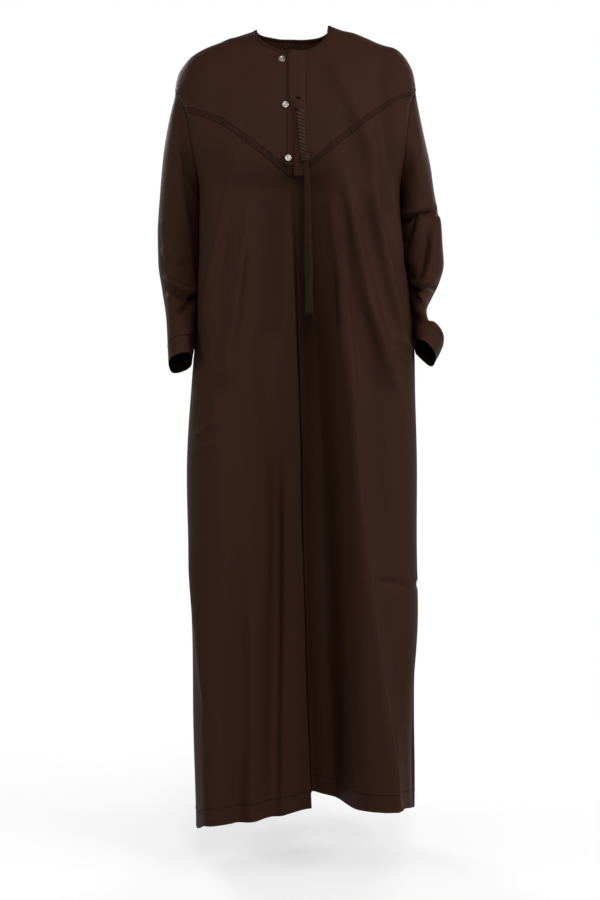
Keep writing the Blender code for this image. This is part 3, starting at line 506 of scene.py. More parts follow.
SLEEVE_LEFT_CREASES = creases_seen(
    SLEEVE_SCALE,
    (386, 232, 450, 210, 3, -11, 2.6, 2.6),
    (390, 223, 442, 204, 3, 6, 3.5, 4),
    (415, 212, 396, 270, 3, -9, 2.6, 3),
    (400, 292, 450, 287, 0, -9, 2.6, 2.6),
    (398, 285, 440, 280, 0, 5, 4, 3),
    (408, 284, 432, 324, 0, -8, 2.4, 2.4),
    (442, 196, 420, 300, 1, 4.5, 2.4, 8),
    (436, 198, 414, 300, 1, -7, 8, 2.4),
    (404, 70, 412, 115, 0, 2.5, 3, 4),
    (405, 116, 412, 136, 2, -5, 2, 2),
    (404, 120, 402, 178, 0, 3, 3, 3),
    (416, 140, 424, 200, -2, 3, 5, 6),
    (408, 252, 420, 282, 2, 3, 4, 5),
    (412, 322, 440, 310, 0, -5, 4, 4),
)

# The creases of the back, in metres
BACK_CREASES = (
    Crease(-0.060, -0.030, -0.030, -0.330, 0.010, 0.0022, 0.030, 0.034),
    Crease(0.064, -0.030, 0.040, -0.340, -0.010, 0.0022, 0.034, 0.030),
    Crease(-0.120, -0.300, -0.060, -0.470, -0.010, -0.0030, 0.014, 0.016),
    Crease(0.130, -0.310, 0.070, -0.500, 0.012, -0.0030, 0.016, 0.014),
    Crease(-0.150, -0.420, -0.050, -0.520, -0.014, 0.0026, 0.012, 0.016),
    Crease(0.160, -0.450, 0.060, -0.560, 0.014, 0.0026, 0.012, 0.016),
    Crease(-0.020, -0.560, -0.050, -1.000, 0.004, 0.0024, 0.016, 0.012),
    Crease(0.060, -0.640, 0.080, -1.150, -0.004, 0.0022, 0.012, 0.016),
    Crease(-0.110, -0.800, -0.120, -1.390, 0.003, -0.0024, 0.010, 0.012),
    Crease(0.140, -0.760, 0.150, -1.390, 0.003, 0.0024, 0.012, 0.010),
)
SLEEVE_RIGHT_BACK_CREASES = (
    Crease(-0.245, -0.400, -0.190, -0.425, -0.004, -0.0034, 0.006, 0.006),
    Crease(-0.248, -0.385, -0.190, -0.408, -0.004, 0.0030, 0.008, 0.006),
    Crease(-0.245, -0.440, -0.195, -0.462, -0.004, 0.0026, 0.008, 0.007),
    Crease(-0.240, -0.480, -0.200, -0.500, -0.003, -0.0024, 0.006, 0.006),
    Crease(-0.230, -0.230, -0.200, -0.340, 0.004, 0.0020, 0.010, 0.010),
    Crease(-0.225, -0.530, -0.195, -0.560, -0.003, 0.0018, 0.006, 0.006),
)
SLEEVE_LEFT_BACK_CREASES = (
    Crease(0.205, -0.400, 0.262, -0.380, 0.004, -0.0036, 0.006, 0.006),
    Crease(0.205, -0.386, 0.262, -0.364, 0.004, 0.0030, 0.006, 0.008),
    Crease(0.205, -0.440, 0.265, -0.430, 0.004, 0.0026, 0.007, 0.008),
    Crease(0.215, -0.478, 0.255, -0.490, 0.003, -0.0026, 0.006, 0.006),
    Crease(0.215, -0.230, 0.240, -0.340, -0.004, 0.0020, 0.010, 0.010),
    Crease(0.218, -0.520, 0.250, -0.540, 0.003, 0.0018, 0.006, 0.006),
)

# The sleeves: side, rings and creases in front and behind
SLEEVES = (
    ("sleeve_right", SLEEVE_RIGHT, -1, SLEEVE_RIGHT_CREASES, SLEEVE_RIGHT_BACK_CREASES),
    ("sleeve_left", SLEEVE_LEFT, 1, SLEEVE_LEFT_CREASES, SLEEVE_LEFT_BACK_CREASES),
)

# Press studs, the flap's slits and loop, and the tassel
SNAP_SIDES = 40
SNAP_CLEARANCE = 0.0002
SLOPE_STEP = 0.004
SNAP_PROFILE = (
    (0.05, 0.0), (0.90, 0.0), (0.985, 0.12), (1.0, 0.30), (0.975, 0.52),
    (0.90, 0.68), (0.78, 0.74), (0.68, 0.70), (0.60, 0.52), (0.52, 0.42),
    (0.34, 0.40), (0.30, 0.46), (0.27, 0.80), (0.20, 0.95), (0.05, 1.0),
)
Slit = namedtuple("Slit", "x z half_width half_height tilt")
SLITS = (Slit(0.0050, -0.1385, 0.0050, 0.0026, -0.25), Slit(0.0020, -0.1596, 0.0060, 0.0030, -0.45))
SLIT_SIDES = 20
SLIT_LIFT = 0.0003
Loop = namedtuple("Loop", "x top bottom half_width thickness rise")
LOOP = Loop(0.0050, -0.1400, -0.1575, 0.0078, 0.0007, 0.0022)
LOOP_STEPS = 16
LOOP_ROUNDNESS = 0.6
CORD_PLIES = 2
CORD_TURNS = 6.5
CORD_STEPS = 150
CORD_PLY_SIDES = 14
CORD_SEAT_X = 0.006
CORD_ROOT = 0.002
CORD_START_SIZE = 0.55
CORD_START_REACH = 0.08
HANG_X = 0.010
PLY_REACH = 0.64
PLY_SIZE = 0.39
KNOT_SIDES = 24
KNOT_PROFILE = ((0.0012, -0.0085), (0.0052, -0.0080), (0.0074, -0.0050), (0.0078, 0.0), (0.0072, 0.0045),
                (0.0052, 0.0075), (0.0012, 0.0082))
Wind = namedtuple("Wind", "name height radius thickness tilt")
KNOT_WINDS = (
    Wind("robe_tassel_knot_low", 0.0020, 0.0066, 0.0021, 0.10),
    Wind("robe_tassel_knot_middle", 0.0062, 0.0078, 0.0024, -0.22),
    Wind("robe_tassel_knot_high", 0.0108, 0.0062, 0.0021, 0.16),
)
STRANDS = 190
STRAND_STEPS = 26
STRAND_SIDES = 4
STRAND_HALF = 0.00034
STRAND_ROOT = 0.002
STRAND_SWAY = 0.10
STRAND_SWAY_PACE = 7
STRAND_SWAY_START = 1.7
STRAND_SHORTER = 0.0035
STRAND_SHORTER_PACE = 2.4
STRAND_END_POWER = 6
GOLDEN_ANGLE = math.pi * (3 - math.sqrt(5))
BUNDLE_TWIST = 0.5
Bundle = namedtuple("Bundle", "z x radius")
BUNDLE = (
    Bundle(-0.235, 0.0160, 0.0050),
    Bundle(-0.256, 0.0170, 0.0048),
    Bundle(-0.280, 0.0195, 0.0050),
    Bundle(-0.386, 0.0215, 0.0064),
    Bundle(-0.448, 0.0226, 0.0076),
    Bundle(-0.4635, 0.0228, 0.0060),
    Bundle(-0.500, 0.0230, 0.0066),
    Bundle(-0.530, 0.0230, 0.0078),
)
TIE_THREAD = 0.0006
TIE_WRAPS = 4
TIE_RISE = 0.0042
WIND_STEPS = 40
WIND_SIDES = 8
TIP_HEIGHT = -0.5135
TIP_STEEPNESS = 260.0

# Finishes
CLOTH_COLOR = (0.0345, 0.0142, 0.0083)
CLOTH_COLOR_DEEP = (0.0300, 0.0124, 0.0072)
CLOTH_COLOR_PALE = (0.0400, 0.0172, 0.0105)
# Painted shade in the dents of the sewn lines
SEWN_DENT_SHADE_COLOR = (0.008, 0.004, 0.0025)
CLOTH_ROUGHNESS = 0.64
ROUGHNESS_RANGE = 0.12
CLOTH_SPECULAR = 0.035
STREAK_SHARE = 0.45
STREAK_STRETCH = (420.0, 9.0, 1.0)
WEAVE_PITCH = 0.0009
WEFT_PITCH = WEAVE_PITCH * 1.2
WEAVE_RELIEF = 0.00012
WEAVE_STRENGTH = 0.35
SLOW_SCALE = 2.6
SLOW_RELIEF = 0.002
SLOW_STRENGTH = 0.30
# How strongly painted shade darkens the dents of the sewn lines
SEWN_DENT_SHADE_SHARE = 0.75
SEWN_RELIEF = 0.0016
SEWN_STRENGTH = 0.6
THREAD_ROUGHNESS = 0.62
THREAD_SPECULAR = 0.08
FIBRE_STRETCH = (900.0, 900.0, 120.0)
FIBRE_RELIEF = 0.0003
FIBRE_STRENGTH = 0.5
# Painted shade of the flap's slit openings
SLIT_OPENING_SHADE = (0.006, 0.003, 0.002)
CORD_COLOR = (0.060, 0.031, 0.019)
CORD_COLOR_DEEP = (0.022, 0.010, 0.006)
TASSEL_COLOR = (0.036, 0.0195, 0.0085)
TASSEL_COLOR_DEEP = (0.016, 0.0080, 0.0040)
TASSEL_TIP = (0.012, 0.0030, 0.0028)
TIE_COLOR = (0.024, 0.012, 0.006)
SEWING_COLOR = (0.030, 0.014, 0.009)
SEWING_COLOR_DEEP = (0.018, 0.008, 0.005)
METAL_COLOR = (0.21, 0.19, 0.175)
METAL_COLOR_PALE = (0.33, 0.305, 0.285)
METAL_ROUGHNESS = 0.22
METAL_WEAR = 0.2
METAL_WEAR_SCALE = 900.0

# Studio
FLOOR = -1.496
FLOOR_REACH = 40.0
FLOOR_COLOR = (0.93, 0.93, 0.93)
FLOOR_FADE = (0.1, 1.5)
FLOOR_GLOW = 0.52
FLOOR_ROUGHNESS = 0.9
FLOOR_SPECULAR = 0.1
AMBIENT = 0.14
Lamp = namedtuple("Lamp", "name place aim size power")
LAMPS = (
    Lamp("key", (2.9, -2.5, 0.9), (0.0, 0.0, -0.6), 1.8, 67.0),
    Lamp("side_right", (-3.4, -0.7, 0.5), (0.0, 0.0, -0.6), 1.2, 40.0),
    Lamp("side_left", (3.5, -0.6, 0.6), (0.0, 0.0, -0.6), 1.2, 30.0),
    Lamp("front", (0.3, -3.8, 1.0), (0.0, 0.0, -0.7), 1.6, 80.0),
    Lamp("top", (0.1, -0.8, 2.4), (0.0, 0.0, -0.4), 2.0, 10.0),
    Lamp("behind_right", (-1.8, 3.4, 0.8), (0.0, 0.0, -0.7), 1.6, 80.0),
    Lamp("behind_left", (1.4, 3.4, 0.6), (0.0, 0.0, -0.7), 2.0, 60.0),
)
CAMERA_PLACE = (0.0, -3.5, EYE_HEIGHT)
CAMERA_SENSOR = 36.0
CAMERA_LENS = 76.916
CAMERA_SHIFT_X = 0.00444
CAMERA_SHIFT_Y = -0.18811

# Press studs on the stand
Snap = namedtuple("Snap", "name x z")
SNAPS = (
    Snap("snap_top", -0.0250, -0.0680),
    Snap("snap_middle", -0.0186, -0.1505),
    Snap("snap_bottom", -0.0136, -0.2450),
)

# Flat size of each cut piece, what carries it and its sewing
Cut = namedtuple("Cut", "name width length area rests_on sewn")


def smooth_curve(knots, values, at):
    """A smooth curve through the knots that never swings past a value."""
    knots = np.asarray(knots, float)
    values = np.asarray(values, float)
    at = np.clip(at, knots[0], knots[-1])
    step = np.diff(knots)
    slope = np.diff(values) / step
    tangent = np.empty(len(knots))
    tangent[0] = slope[0]
    tangent[-1] = slope[-1]
    same_way = slope[1:] * slope[:-1] > 0
    total = np.where(same_way, slope[1:] + slope[:-1], 1.0)
    tangent[1:-1] = np.where(same_way, 2 * slope[1:] * slope[:-1] / total, 0.0)
    cell = np.clip(np.searchsorted(knots, at, side="right") - 1, 0, len(step) - 1)
    t = (at - knots[cell]) / step[cell]
    start = (1 + 2 * t) * (1 - t) ** 2 * values[cell]
    leave = t * (1 - t) ** 2 * step[cell] * tangent[cell]
    end = t * t * (3 - 2 * t) * values[cell + 1]
    arrive = t * t * (t - 1) * step[cell] * tangent[cell + 1]
    return start + leave + end + arrive


def column_at(table, key, name, at):
    """Read one named column of a table at other values of its key column."""
    rows = sorted(table, key=lambda row: getattr(row, key))
    return smooth_curve([getattr(row, key) for row in rows], [getattr(row, name) for row in rows], at)


def ease(t):
    """Rise from 0 to 1 with level ends."""
    t = np.clip(t, 0.0, 1.0)
    return t * t * (3 - 2 * t)


def unit(vectors):
    """Vectors brought to length 1."""
    return vectors / np.maximum(np.linalg.norm(vectors, axis=-1, keepdims=True), TINY)


def full_turn(count):
    """Even angles round a circle."""
    return np.linspace(0.0, 2 * math.pi, count, endpoint=False)


def section_at(name, z):
    """Read one measure of the body's sections at a height."""
    return column_at(SECTIONS, "z", name, z)


def outline_at(side, z):
    """Where the outline stands at a height, on the -X side for -1 and the +X side for 1."""
    return section_at("left" if side < 0 else "right", z)


def distances(points):
    """Distance travelled to each point of a polyline."""
    steps = np.linalg.norm(np.diff(points, axis=0), axis=1)
    return np.concatenate([[0.0], np.cumsum(steps)])


def read_along(wanted, travelled, values):
    """Places or directions along a polyline at the distances wanted."""
    return np.stack([np.interp(wanted, travelled, values[:, axis]) for axis in range(3)], axis=-1)


def smooth_levels(loops, count):
    """A grid that runs smoothly through loops of points in a number of levels."""
    loops = np.array(loops)
    knots = np.arange(len(loops))
    wanted = np.linspace(0, len(loops) - 1, count)
    grid = np.empty((loops.shape[1], count, 3))
    for i in range(loops.shape[1]):
        for axis in range(3):
            grid[i, :, axis] = smooth_curve(knots, loops[:, i, axis], wanted)
    return grid


def squared(wave, power):
    """A cosine or sine made squarer by a power below 1."""
    return np.sign(wave) * np.abs(wave) ** power


def armhole_half_depth(z):
    """How far the armhole's edge stands from the side line at a height."""
    return ARMHOLE_REACH * np.sqrt(np.clip(1 - ((z - ARMHOLE_MIDDLE) / ARMHOLE_HALF) ** 2, 0.0, None))


def side_depth(z, depth, out):
    """Depth of a section where out runs from 0 at the side to 1 at the centre. The armhole's
    own edge shapes only what is close to it, and a softer swell carries on from it."""
    swell = ARMHOLE_REACH * np.exp(-((z - ARMHOLE_MIDDLE) / ARMHOLE_HALF) ** 2)
    near = (1 - out) ** ARMHOLE_EDGE_POWER
    return armhole_half_depth(z) * near + swell * (1 - out - near) + depth * out


def pocket_gape(z):
    """How far a side edge stands off the side line where the pocket's slit is."""
    away = np.clip(np.abs(z - POCKET_HEIGHT) / POCKET_SLIT_HALF, 0.0, 1.0)
    return POCKET_GAPE * (1 - away * away) ** POCKET_GAPE_POWER


def fold_height(folds, x, z):
    """Sum of the soft folds at places on the body."""
    total = np.zeros(np.broadcast(x, z).shape)
    for fold in folds:
        along = (z - fold.top) / (fold.bottom - fold.top)
        path = fold.x_top + (fold.x_bottom - fold.x_top) * along
        width = np.where(x < path, fold.left_width, fold.right_width)
        presence = ease(along / FOLD_START) * ease((1 - along) / FOLD_END)
        total = total + fold.depth * presence * np.exp(-((x - path) / width) ** 2)
    return total


def resample(points, count, crowding=1.0):
    """Points along a polyline, at equal distances or crowded towards its end."""
    travelled = distances(points)
    wanted = travelled[-1] * (1 - (1 - np.linspace(0.0, 1.0, count)) ** crowding)
    return read_along(wanted, travelled, points)


def half_section(z, facing, side, count):
    """One half of a horizontal section, from the side line to the centre, front or back."""
    outline = float(outline_at(side, z))
    centre = float(column_at(FOLD_EDGE, "z", "x", z)) if facing < 0 else BACK_CENTRE_X
    depth = float(section_at("front" if facing < 0 else "back", z))
    square = float(section_at("square", z))
    angle = np.linspace(0.0, math.pi / 2, FORM_SAMPLES)
    across = np.cos(angle) ** (2 / square)
    out = np.sin(angle) ** (2 / square)
    x = centre + (outline - centre) * across
    heights = np.full_like(x, z)
    soft = ease(out / SIDE_FADE)
    folds = FRONT_FOLDS if facing < 0 else BACK_FOLDS
    out_from_side = side_depth(z, depth, out) + fold_height(folds, x, heights) * soft
    if facing < 0:
        size = float(column_at(FOLD_EDGE, "z", "size", z))
        x, out_from_side = add_centre_fold(x, out_from_side, centre, side, size)
    y = SIDE_Y + facing * (out_from_side + (1 - soft) * float(pocket_gape(z)))
    return resample(np.stack([x, y, heights], axis=1), count)


def add_centre_fold(x, out, centre, side, size):
    """Lay the right half over the left half along the fold's edge."""
    away = np.abs(x - centre)
    if side < 0:
        return x, out - size * FOLD_SLOPE * (1 - ease(away / FOLD_SLOPE_WIDTH))
    sunk = FOLD_SLOPE + FOLD_TUCK * ease(away / FOLD_TUCK_WIDTH)
    rise = ease((away - FOLD_TUCK_WIDTH) / FOLD_RISE_WIDTH)
    under = np.sin(math.pi * np.clip(away / FOLD_UNDER_WIDTH, 0.0, 1.0))
    return x - size * FOLD_OVERLAP * under, out - size * sunk * (1 - rise)


def body_form(facing, columns):
    """The whole front or back as levels of points, evenly spaced across."""
    climb = 1 - (1 - np.linspace(0.0, 1.0, FORM_LEVELS)) ** FORM_CROWDING
    heights = HEM - BELOW_HEM + (SECTIONS[0].z - HEM + BELOW_HEM) * climb
    half = columns // 2 + 1
    levels = []
    for z in heights:
        near = half_section(z, facing, -1, half)
        far = half_section(z, facing, 1, half)
        levels.append(np.concatenate([near, far[-2::-1]]))
    return heights, np.array(levels)


def cut_panel(form, first, last, bottom, top, rows, crowding=1.0):
    """Cut the columns from first to last between a bottom and a top height for each."""
    heights, levels = form
    grid = []
    for column in range(first, last + 1):
        z = np.linspace(bottom[column], top[column], FORM_SAMPLES)
        path = [np.interp(z, heights, levels[:, column, axis]) for axis in range(2)]
        grid.append(resample(np.stack([path[0], path[1], z], axis=1), rows + 1, crowding))
    return np.array(grid)


def heights_where(form, line):
    """For each column, the height at which it crosses a line z(x) from below."""
    heights, levels = form
    found = []
    for column in range(levels.shape[1]):
        over = heights - line(levels[:, column, 0])
        crossing = np.nonzero(over > 0)[0]
        above = crossing[0] if len(crossing) else len(heights) - 1
        below = max(above - 1, 0)
        part = np.clip(-over[below] / max(over[above] - over[below], TINY), 0.0, 1.0)
        found.append(heights[below] + part * (heights[above] - heights[below]))
    return np.array(found)


def yoke_line(x):
    """Height of the yoke's lower edge."""
    return column_at(YOKE_EDGE, "x", "z", x)


def neck_line(drop):
    """Height of the neckline, as a function of x. Beside the neck it lies above all the cloth."""
    def line(x):
        away = np.clip(np.abs(x - NECK_X) / NECK_HALF_WIDTH, 0.0, 1.0)
        height = NECK_TOP - drop * np.sqrt(1 - away ** 2)
        return np.where(away < 1.0, height, ABOVE_CLOTH)
    return line


def hem_line(form):
    """Height of the front hem for each column."""
    across = np.linspace(0.0, 1.0, form[1].shape[1])
    return HEM + column_at(HEM_EDGE, "across", "rise", across)


def inward_normals(grid, inward):
    """Unit normals of a grid of points that point to the inside. Where no inward direction is
    given, the grid closes on itself in its first direction and its inside is its middle."""
    if inward is None:
        first = np.gradient(np.concatenate([grid[-1:], grid, grid[:1]]), axis=0)[1:-1]
        inward = grid.reshape(-1, 3).mean(axis=0) - grid
    else:
        first = np.gradient(grid, axis=0)
    normal = unit(np.cross(first, np.gradient(grid, axis=1)))
    return normal * np.sign(np.sum(normal * np.array(inward), axis=2).mean())


def sleeve_grid(rings, side):
    """Points of a sleeve's outer side, from the armhole to the cuff."""
    turn = full_turn(SLEEVE_SIDES)
    z = ARMHOLE_MIDDLE + ARMHOLE_HALF * np.cos(turn)
    loops = [np.stack([outline_at(side, z), SIDE_Y - ARMHOLE_REACH * np.sin(turn), z], axis=1)]
    for ring in rings:
        outer = np.array([ring.outer_x, ring.y, ring.outer_z])
        inner = np.array([ring.inner_x, ring.y, ring.inner_z])
        forward = np.array([0.0, -ring.half_depth, ring.lift])
        across = np.outer(squared(np.cos(turn), ring.square), (outer - inner) / 2)
        loops.append((outer + inner) / 2 + across + np.outer(squared(np.sin(turn), ring.square), forward))
    grid = smooth_levels(loops, SLEEVE_ROWS + 1)
    grid[:, 0] += ARMHOLE_GAP * unit(grid[:, 1] - grid[:, 0])
    grid[:, 0, 0] += side * ARMHOLE_GAP
    return grid


def front_y(x, z):
    """Depth of the yoke's outer face at a place near the centre front."""
    centre = column_at(FOLD_EDGE, "z", "x", z)
    edge = np.where(x < centre, outline_at(-1, z), outline_at(1, z))
    square = section_at("square", z)
    away = np.clip((x - centre) / (edge - centre), 0.0, 1.0)
    out = (1 - away ** square) ** (1 / square)
    depth = side_depth(z, section_at("front", z), out)
    return SIDE_Y - depth - fold_height(FRONT_FOLDS, x, z)


def crease_height(creases, x, z):
    """Sum of the creases at places (x, z)."""
    total = np.zeros(np.broadcast(x, z).shape)
    for crease in creases:
        run = np.array([crease.x1 - crease.x0, crease.z1 - crease.z0])
        length = np.linalg.norm(run)
        run = run / length
        along = ((x - crease.x0) * run[0] + (z - crease.z0) * run[1]) / length
        inside = np.clip(along, 0.0, 1.0)
        bowed = 4 * crease.bow * inside * (1 - inside)
        off = -(x - crease.x0) * run[1] + (z - crease.z0) * run[0] - bowed
        width = np.where(off < 0, crease.minus, crease.plus)
        presence = ease(along / CREASE_FADE) * ease((1 - along) / CREASE_FADE)
        total = total + crease.height * presence * np.exp(-(off / width) ** 2)
    return total


def uneven(x, z):
    """Slow unevenness of hanging cloth."""
    total = np.zeros(np.broadcast(x, z).shape)
    for wave in UNEVEN:
        turn = 2 * math.pi * (x / wave.across + z / wave.down + wave.start)
        bend = UNEVEN_BEND * np.sin(z / wave.bend + wave.start * UNEVEN_SPREAD)
        total = total + wave.height * np.sin(turn + bend)
    return total


def push_out(grid, height, inward=None):
    """Move a grid of points out of the cloth by a height for each point."""
    return grid - inward_normals(grid, inward) * height[:, :, None]


def lengths_along(grid, axis):
    """Distance travelled along a grid's first or second direction."""
    step = np.linalg.norm(np.diff(grid, axis=axis), axis=2)
    start = np.zeros_like(step[:1] if axis == 0 else step[:, :1])
    return np.cumsum(np.concatenate([start, step], axis=axis), axis=axis)


def cloth_piece(name, outer, material, inward, sewn_axis):
    """A thin closed shell of cloth on a grid of points. It has its flat coordinates as a UV map
    and, for its sewn lines, each point's distance from the grid's first and last edge."""
    inner = outer + inward_normals(outer, inward) * CLOTH_THICKNESS
    columns, rows = outer.shape[:2]
    around = inward is None
    looped = np.concatenate([outer, outer[:1]]) if around else outer
    across = lengths_along(looped, 0).mean(axis=1)
    down = lengths_along(outer, 1).mean(axis=0)
    faces = []
    flats = []
    under = columns * rows
    for i in range(columns if around else columns - 1):
        near = i * rows
        far = (i + 1) % columns * rows
        u0, u1 = across[i], across[i + 1]
        for j in range(rows - 1):
            corners = (near + j, far + j, far + j + 1, near + j + 1)
            flat = ((u0, down[j]), (u1, down[j]), (u1, down[j + 1]), (u0, down[j + 1]))
            faces.append(corners)
            faces.append(tuple(corner + under for corner in reversed(corners)))
            flats.extend(flat)
            flats.extend(reversed(flat))
        for j in (0, rows - 1):
            faces.append((near + j, near + j + under, far + j + under, far + j))
            flats.extend(((u0, down[j]), (u0, down[j]), (u1, down[j]), (u1, down[j])))
    for i in () if around else (0, columns - 1):
        for j in range(rows - 1):
            low = i * rows + j
            faces.append((low, low + 1, low + 1 + under, low + under))
            flats.extend(((across[i], down[j]), (across[i], down[j + 1])) * 2)
    mesh = bpy.data.meshes.new(name)
    mesh.from_pydata(np.concatenate([outer, inner]).reshape(-1, 3).tolist(), [], faces)
    layer = mesh.uv_layers.new(name="flat_cloth")
    layer.data.foreach_set("uv", np.array(flats, np.float32).ravel())
    travelled = lengths_along(outer, sewn_axis)
    whole = travelled[:, -1:] if sewn_axis else travelled[-1:]
    for label, values in (("from_first", travelled), ("from_last", whole - travelled)):
        attribute = mesh.attributes.new(label, "FLOAT", "POINT")
        attribute.data.foreach_set("value", np.tile(values.ravel(), 2).astype(np.float32))
    return finish_mesh(name, mesh, material, CLOTH_SHARP)


def link_object(name, data):
    """An object in the scene that shows a mesh, a lamp or a camera."""
    made = bpy.data.objects.new(name, data)
    bpy.context.collection.objects.link(made)
    return made


def finish_mesh(name, mesh, material, angle):
    """Wrap a mesh as a named piece that rides on the robe, with edges sharp from an angle."""
    builder = bmesh.new()
    builder.from_mesh(mesh)
    bmesh.ops.recalc_face_normals(builder, faces=builder.faces)
    builder.to_mesh(mesh)
    builder.free()
    mesh.materials.append(material)
    mesh.shade_smooth()
    mesh.set_sharp_from_angle(angle=math.radians(angle))
    made = link_object(name, mesh)
    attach(made, "root")
    return made


def tubes(name, stacks, material, angle):
    """One piece of closed skins with flat ends, each over a stack of rings of points."""
    points = []
    faces = []
    for rings in stacks:
        count, sides = rings.shape[:2]
        base = len(points)
        top = base + (count - 1) * sides
        points.extend(rings.reshape(-1, 3).tolist())
        for low in range(base, top, sides):
            for k in range(sides):
                after = (k + 1) % sides
                faces.append((low + k, low + after, low + sides + after, low + sides + k))
        faces.append(tuple(range(base + sides - 1, base - 1, -1)))
        faces.append(tuple(range(top, top + sides)))
    mesh = bpy.data.meshes.new(name)
    mesh.from_pydata(points, [], faces)
    return finish_mesh(name, mesh, material, angle)


def side_fade(grid):
    """1 over the panel, falling to 0 at its side edges, sooner below the cuffs."""
    width = lengths_along(grid, 0)
    reach = np.interp(grid[:, :, 2], SIDE_FADE_HEIGHTS, SIDE_FADE_REACH)
    return ease(np.minimum(width, width[-1:] - width) / reach)


def pucker(x, z):
    """Small gathers that the sewing draws in along the yoke's lower edge."""
    above = (z - yoke_line(x)) - PUCKER_MIDDLE
    turn = 2 * math.pi * (x * PUCKER_ALONG + PUCKER_SLANT * above) / PUCKER_PITCH
    beat = 1 - PUCKER_BEAT + PUCKER_BEAT * np.sin(turn * PUCKER_BEAT_PACE)
    draw = np.sin(turn + PUCKER_DRIFT * np.sin(turn * PUCKER_DRIFT_PACE)) * beat
    return PUCKER_HEIGHT * draw * np.exp(-(above / PUCKER_REACH) ** 2)


def dressed(grid, creases, inward, lift=0.0, puckered=False):
    """A panel with its creases and unevenness, lifted off what lies under it."""
    x, z = grid[:, :, 0], grid[:, :, 2]
    height = (crease_height(creases, x, z) + uneven(x, z)) * side_fade(grid) + lift
    if puckered:
        height = height + pucker(x, z)
    return push_out(grid, height, inward)


def panel_grids():
    """Points of the front, the yoke halves and the back, cut from one form."""
    front = body_form(-1, FRONT_COLUMNS)
    middle = FRONT_COLUMNS // 2
    yoke_height = heights_where(front, yoke_line)
    neck_height = heights_where(front, neck_line(NECK_DROP_FRONT))
    lower = cut_panel(front, 0, FRONT_COLUMNS, hem_line(front), yoke_height + YOKE_UNDER, FRONT_ROWS)
    grids = {"front_lower": dressed(lower, FRONT_CREASES, AHEAD, puckered=True)}
    halves = (("yoke_right", 0, middle, -SEAM), ("yoke_left", middle, FRONT_COLUMNS, SEAM))
    for name, first, last, shift in halves:
        yoke = cut_panel(front, first, last, yoke_height, neck_height, YOKE_ROWS)
        yoke[middle - first, :, 0] += shift
        lift = YOKE_LIFT * ease((YOKE_LIFT_TOP - yoke[:, :, 2]) / YOKE_LIFT_FADE)
        grids[name] = dressed(yoke, FRONT_CREASES, AHEAD, lift, puckered=True)
    back = body_form(1, BACK_COLUMNS)
    across = np.linspace(0.0, 1.0, BACK_COLUMNS + 1)
    back_hem = HEM + BACK_HEM_RISE
    for away, end in ((across, HEM_EDGE[0]), (1 - across, HEM_EDGE[-1])):
        back_hem = back_hem + ease(1 - away / BACK_HEM_REACH) * (end.rise - BACK_HEM_RISE)
    back_neck = heights_where(back, neck_line(NECK_DROP_BACK))
    rear = cut_panel(back, 0, BACK_COLUMNS, back_hem, back_neck, BACK_ROWS)
    grids["back"] = dressed(rear, BACK_CREASES, BEHIND)
    return grids


def dressed_sleeve(rings, side, front_creases, back_creases):
    """Points of a sleeve with its creases, which fade at the armhole."""
    grid = sleeve_grid(rings, side)
    turn = full_turn(SLEEVE_SIDES)[:, None]
    grid[:, 0] += (grid[:, 0].mean(axis=0) - grid[:, 0]) * SLEEVE_TUCK
    grid[:, 0, 0] -= side * SLEEVE_UNDER
    x, z = grid[:, :, 0], grid[:, :, 2]
    ahead = ease(np.sin(turn) / SLEEVE_SIDE_FADE)
    behind = ease(-np.sin(turn) / SLEEVE_SIDE_FADE)
    height = crease_height(front_creases, x, z) * ahead + crease_height(back_creases, x, z) * behind
    height = (height + uneven(x, z)) * ease(lengths_along(grid, 1) / SLEEVE_TOP_FADE)
    return pressed_to_body(push_out(grid, height), side, -np.cos(turn))


def pressed_to_body(grid, side, inner_share):
    """The sleeve's inner side laid close to the body, where the arm holds it."""
    z = grid[:, :, 2]
    depth = np.where(grid[:, :, 1] < SIDE_Y, section_at("front", z), section_at("back", z))
    square = section_at("square", z)
    away = np.clip(np.abs(grid[:, :, 1] - SIDE_Y) / depth, 0.0, 1.0)
    body = np.abs(outline_at(side, z)) * (1 - away ** square) ** (1 / square) + BODY_CLEARANCE
    closer = np.clip(np.abs(grid[:, :, 0]) - body, 0.0, PRESS_REACH)
    share = ease(inner_share / PRESS_SHARE) * ease((PRESS_START - z) / PRESS_START_FADE)
    pressed = grid.copy()
    pressed[:, :, 0] -= side * closer * share * ease((z - PRESS_END) / PRESS_END_FADE)
    return pressed


def build_binding(grids, material):
    """A rounded bound edge that carries on from the panels' top edges round the neck."""
    edges = (grids["yoke_right"][::-1], grids["back"][1:-1], grids["yoke_left"][::-1])
    neck_edge = np.concatenate([edge[:, BINDING_ROWS] for edge in edges])
    path = neck_edge[:, 1]
    along = unit(np.gradient(path, axis=0))
    up = path - neck_edge[:, 0]
    up = unit(up - along * np.sum(up * along, axis=1, keepdims=True))
    out = np.cross(along, up)
    out *= np.sign(np.sum(out[:, :2] * (path[:, :2] - np.array([NECK_X, SIDE_Y])), axis=1))[:, None]
    turn = full_turn(BINDING_SIDES)
    thick = BINDING_THICKNESS / 2 * np.sin(turn)
    tall = BINDING_WIDTH / 2 * squared(np.cos(turn), BINDING_SQUARE)
    middle = path + up * (BINDING_WIDTH / 2 - BINDING_GRIP) - out * WALL / 2
    rings = middle[:, None] + out[:, None] * thick[:, None] + up[:, None] * tall[:, None]
    return tubes("robe_neck_binding", [rings], material, ROUND_SHARP)


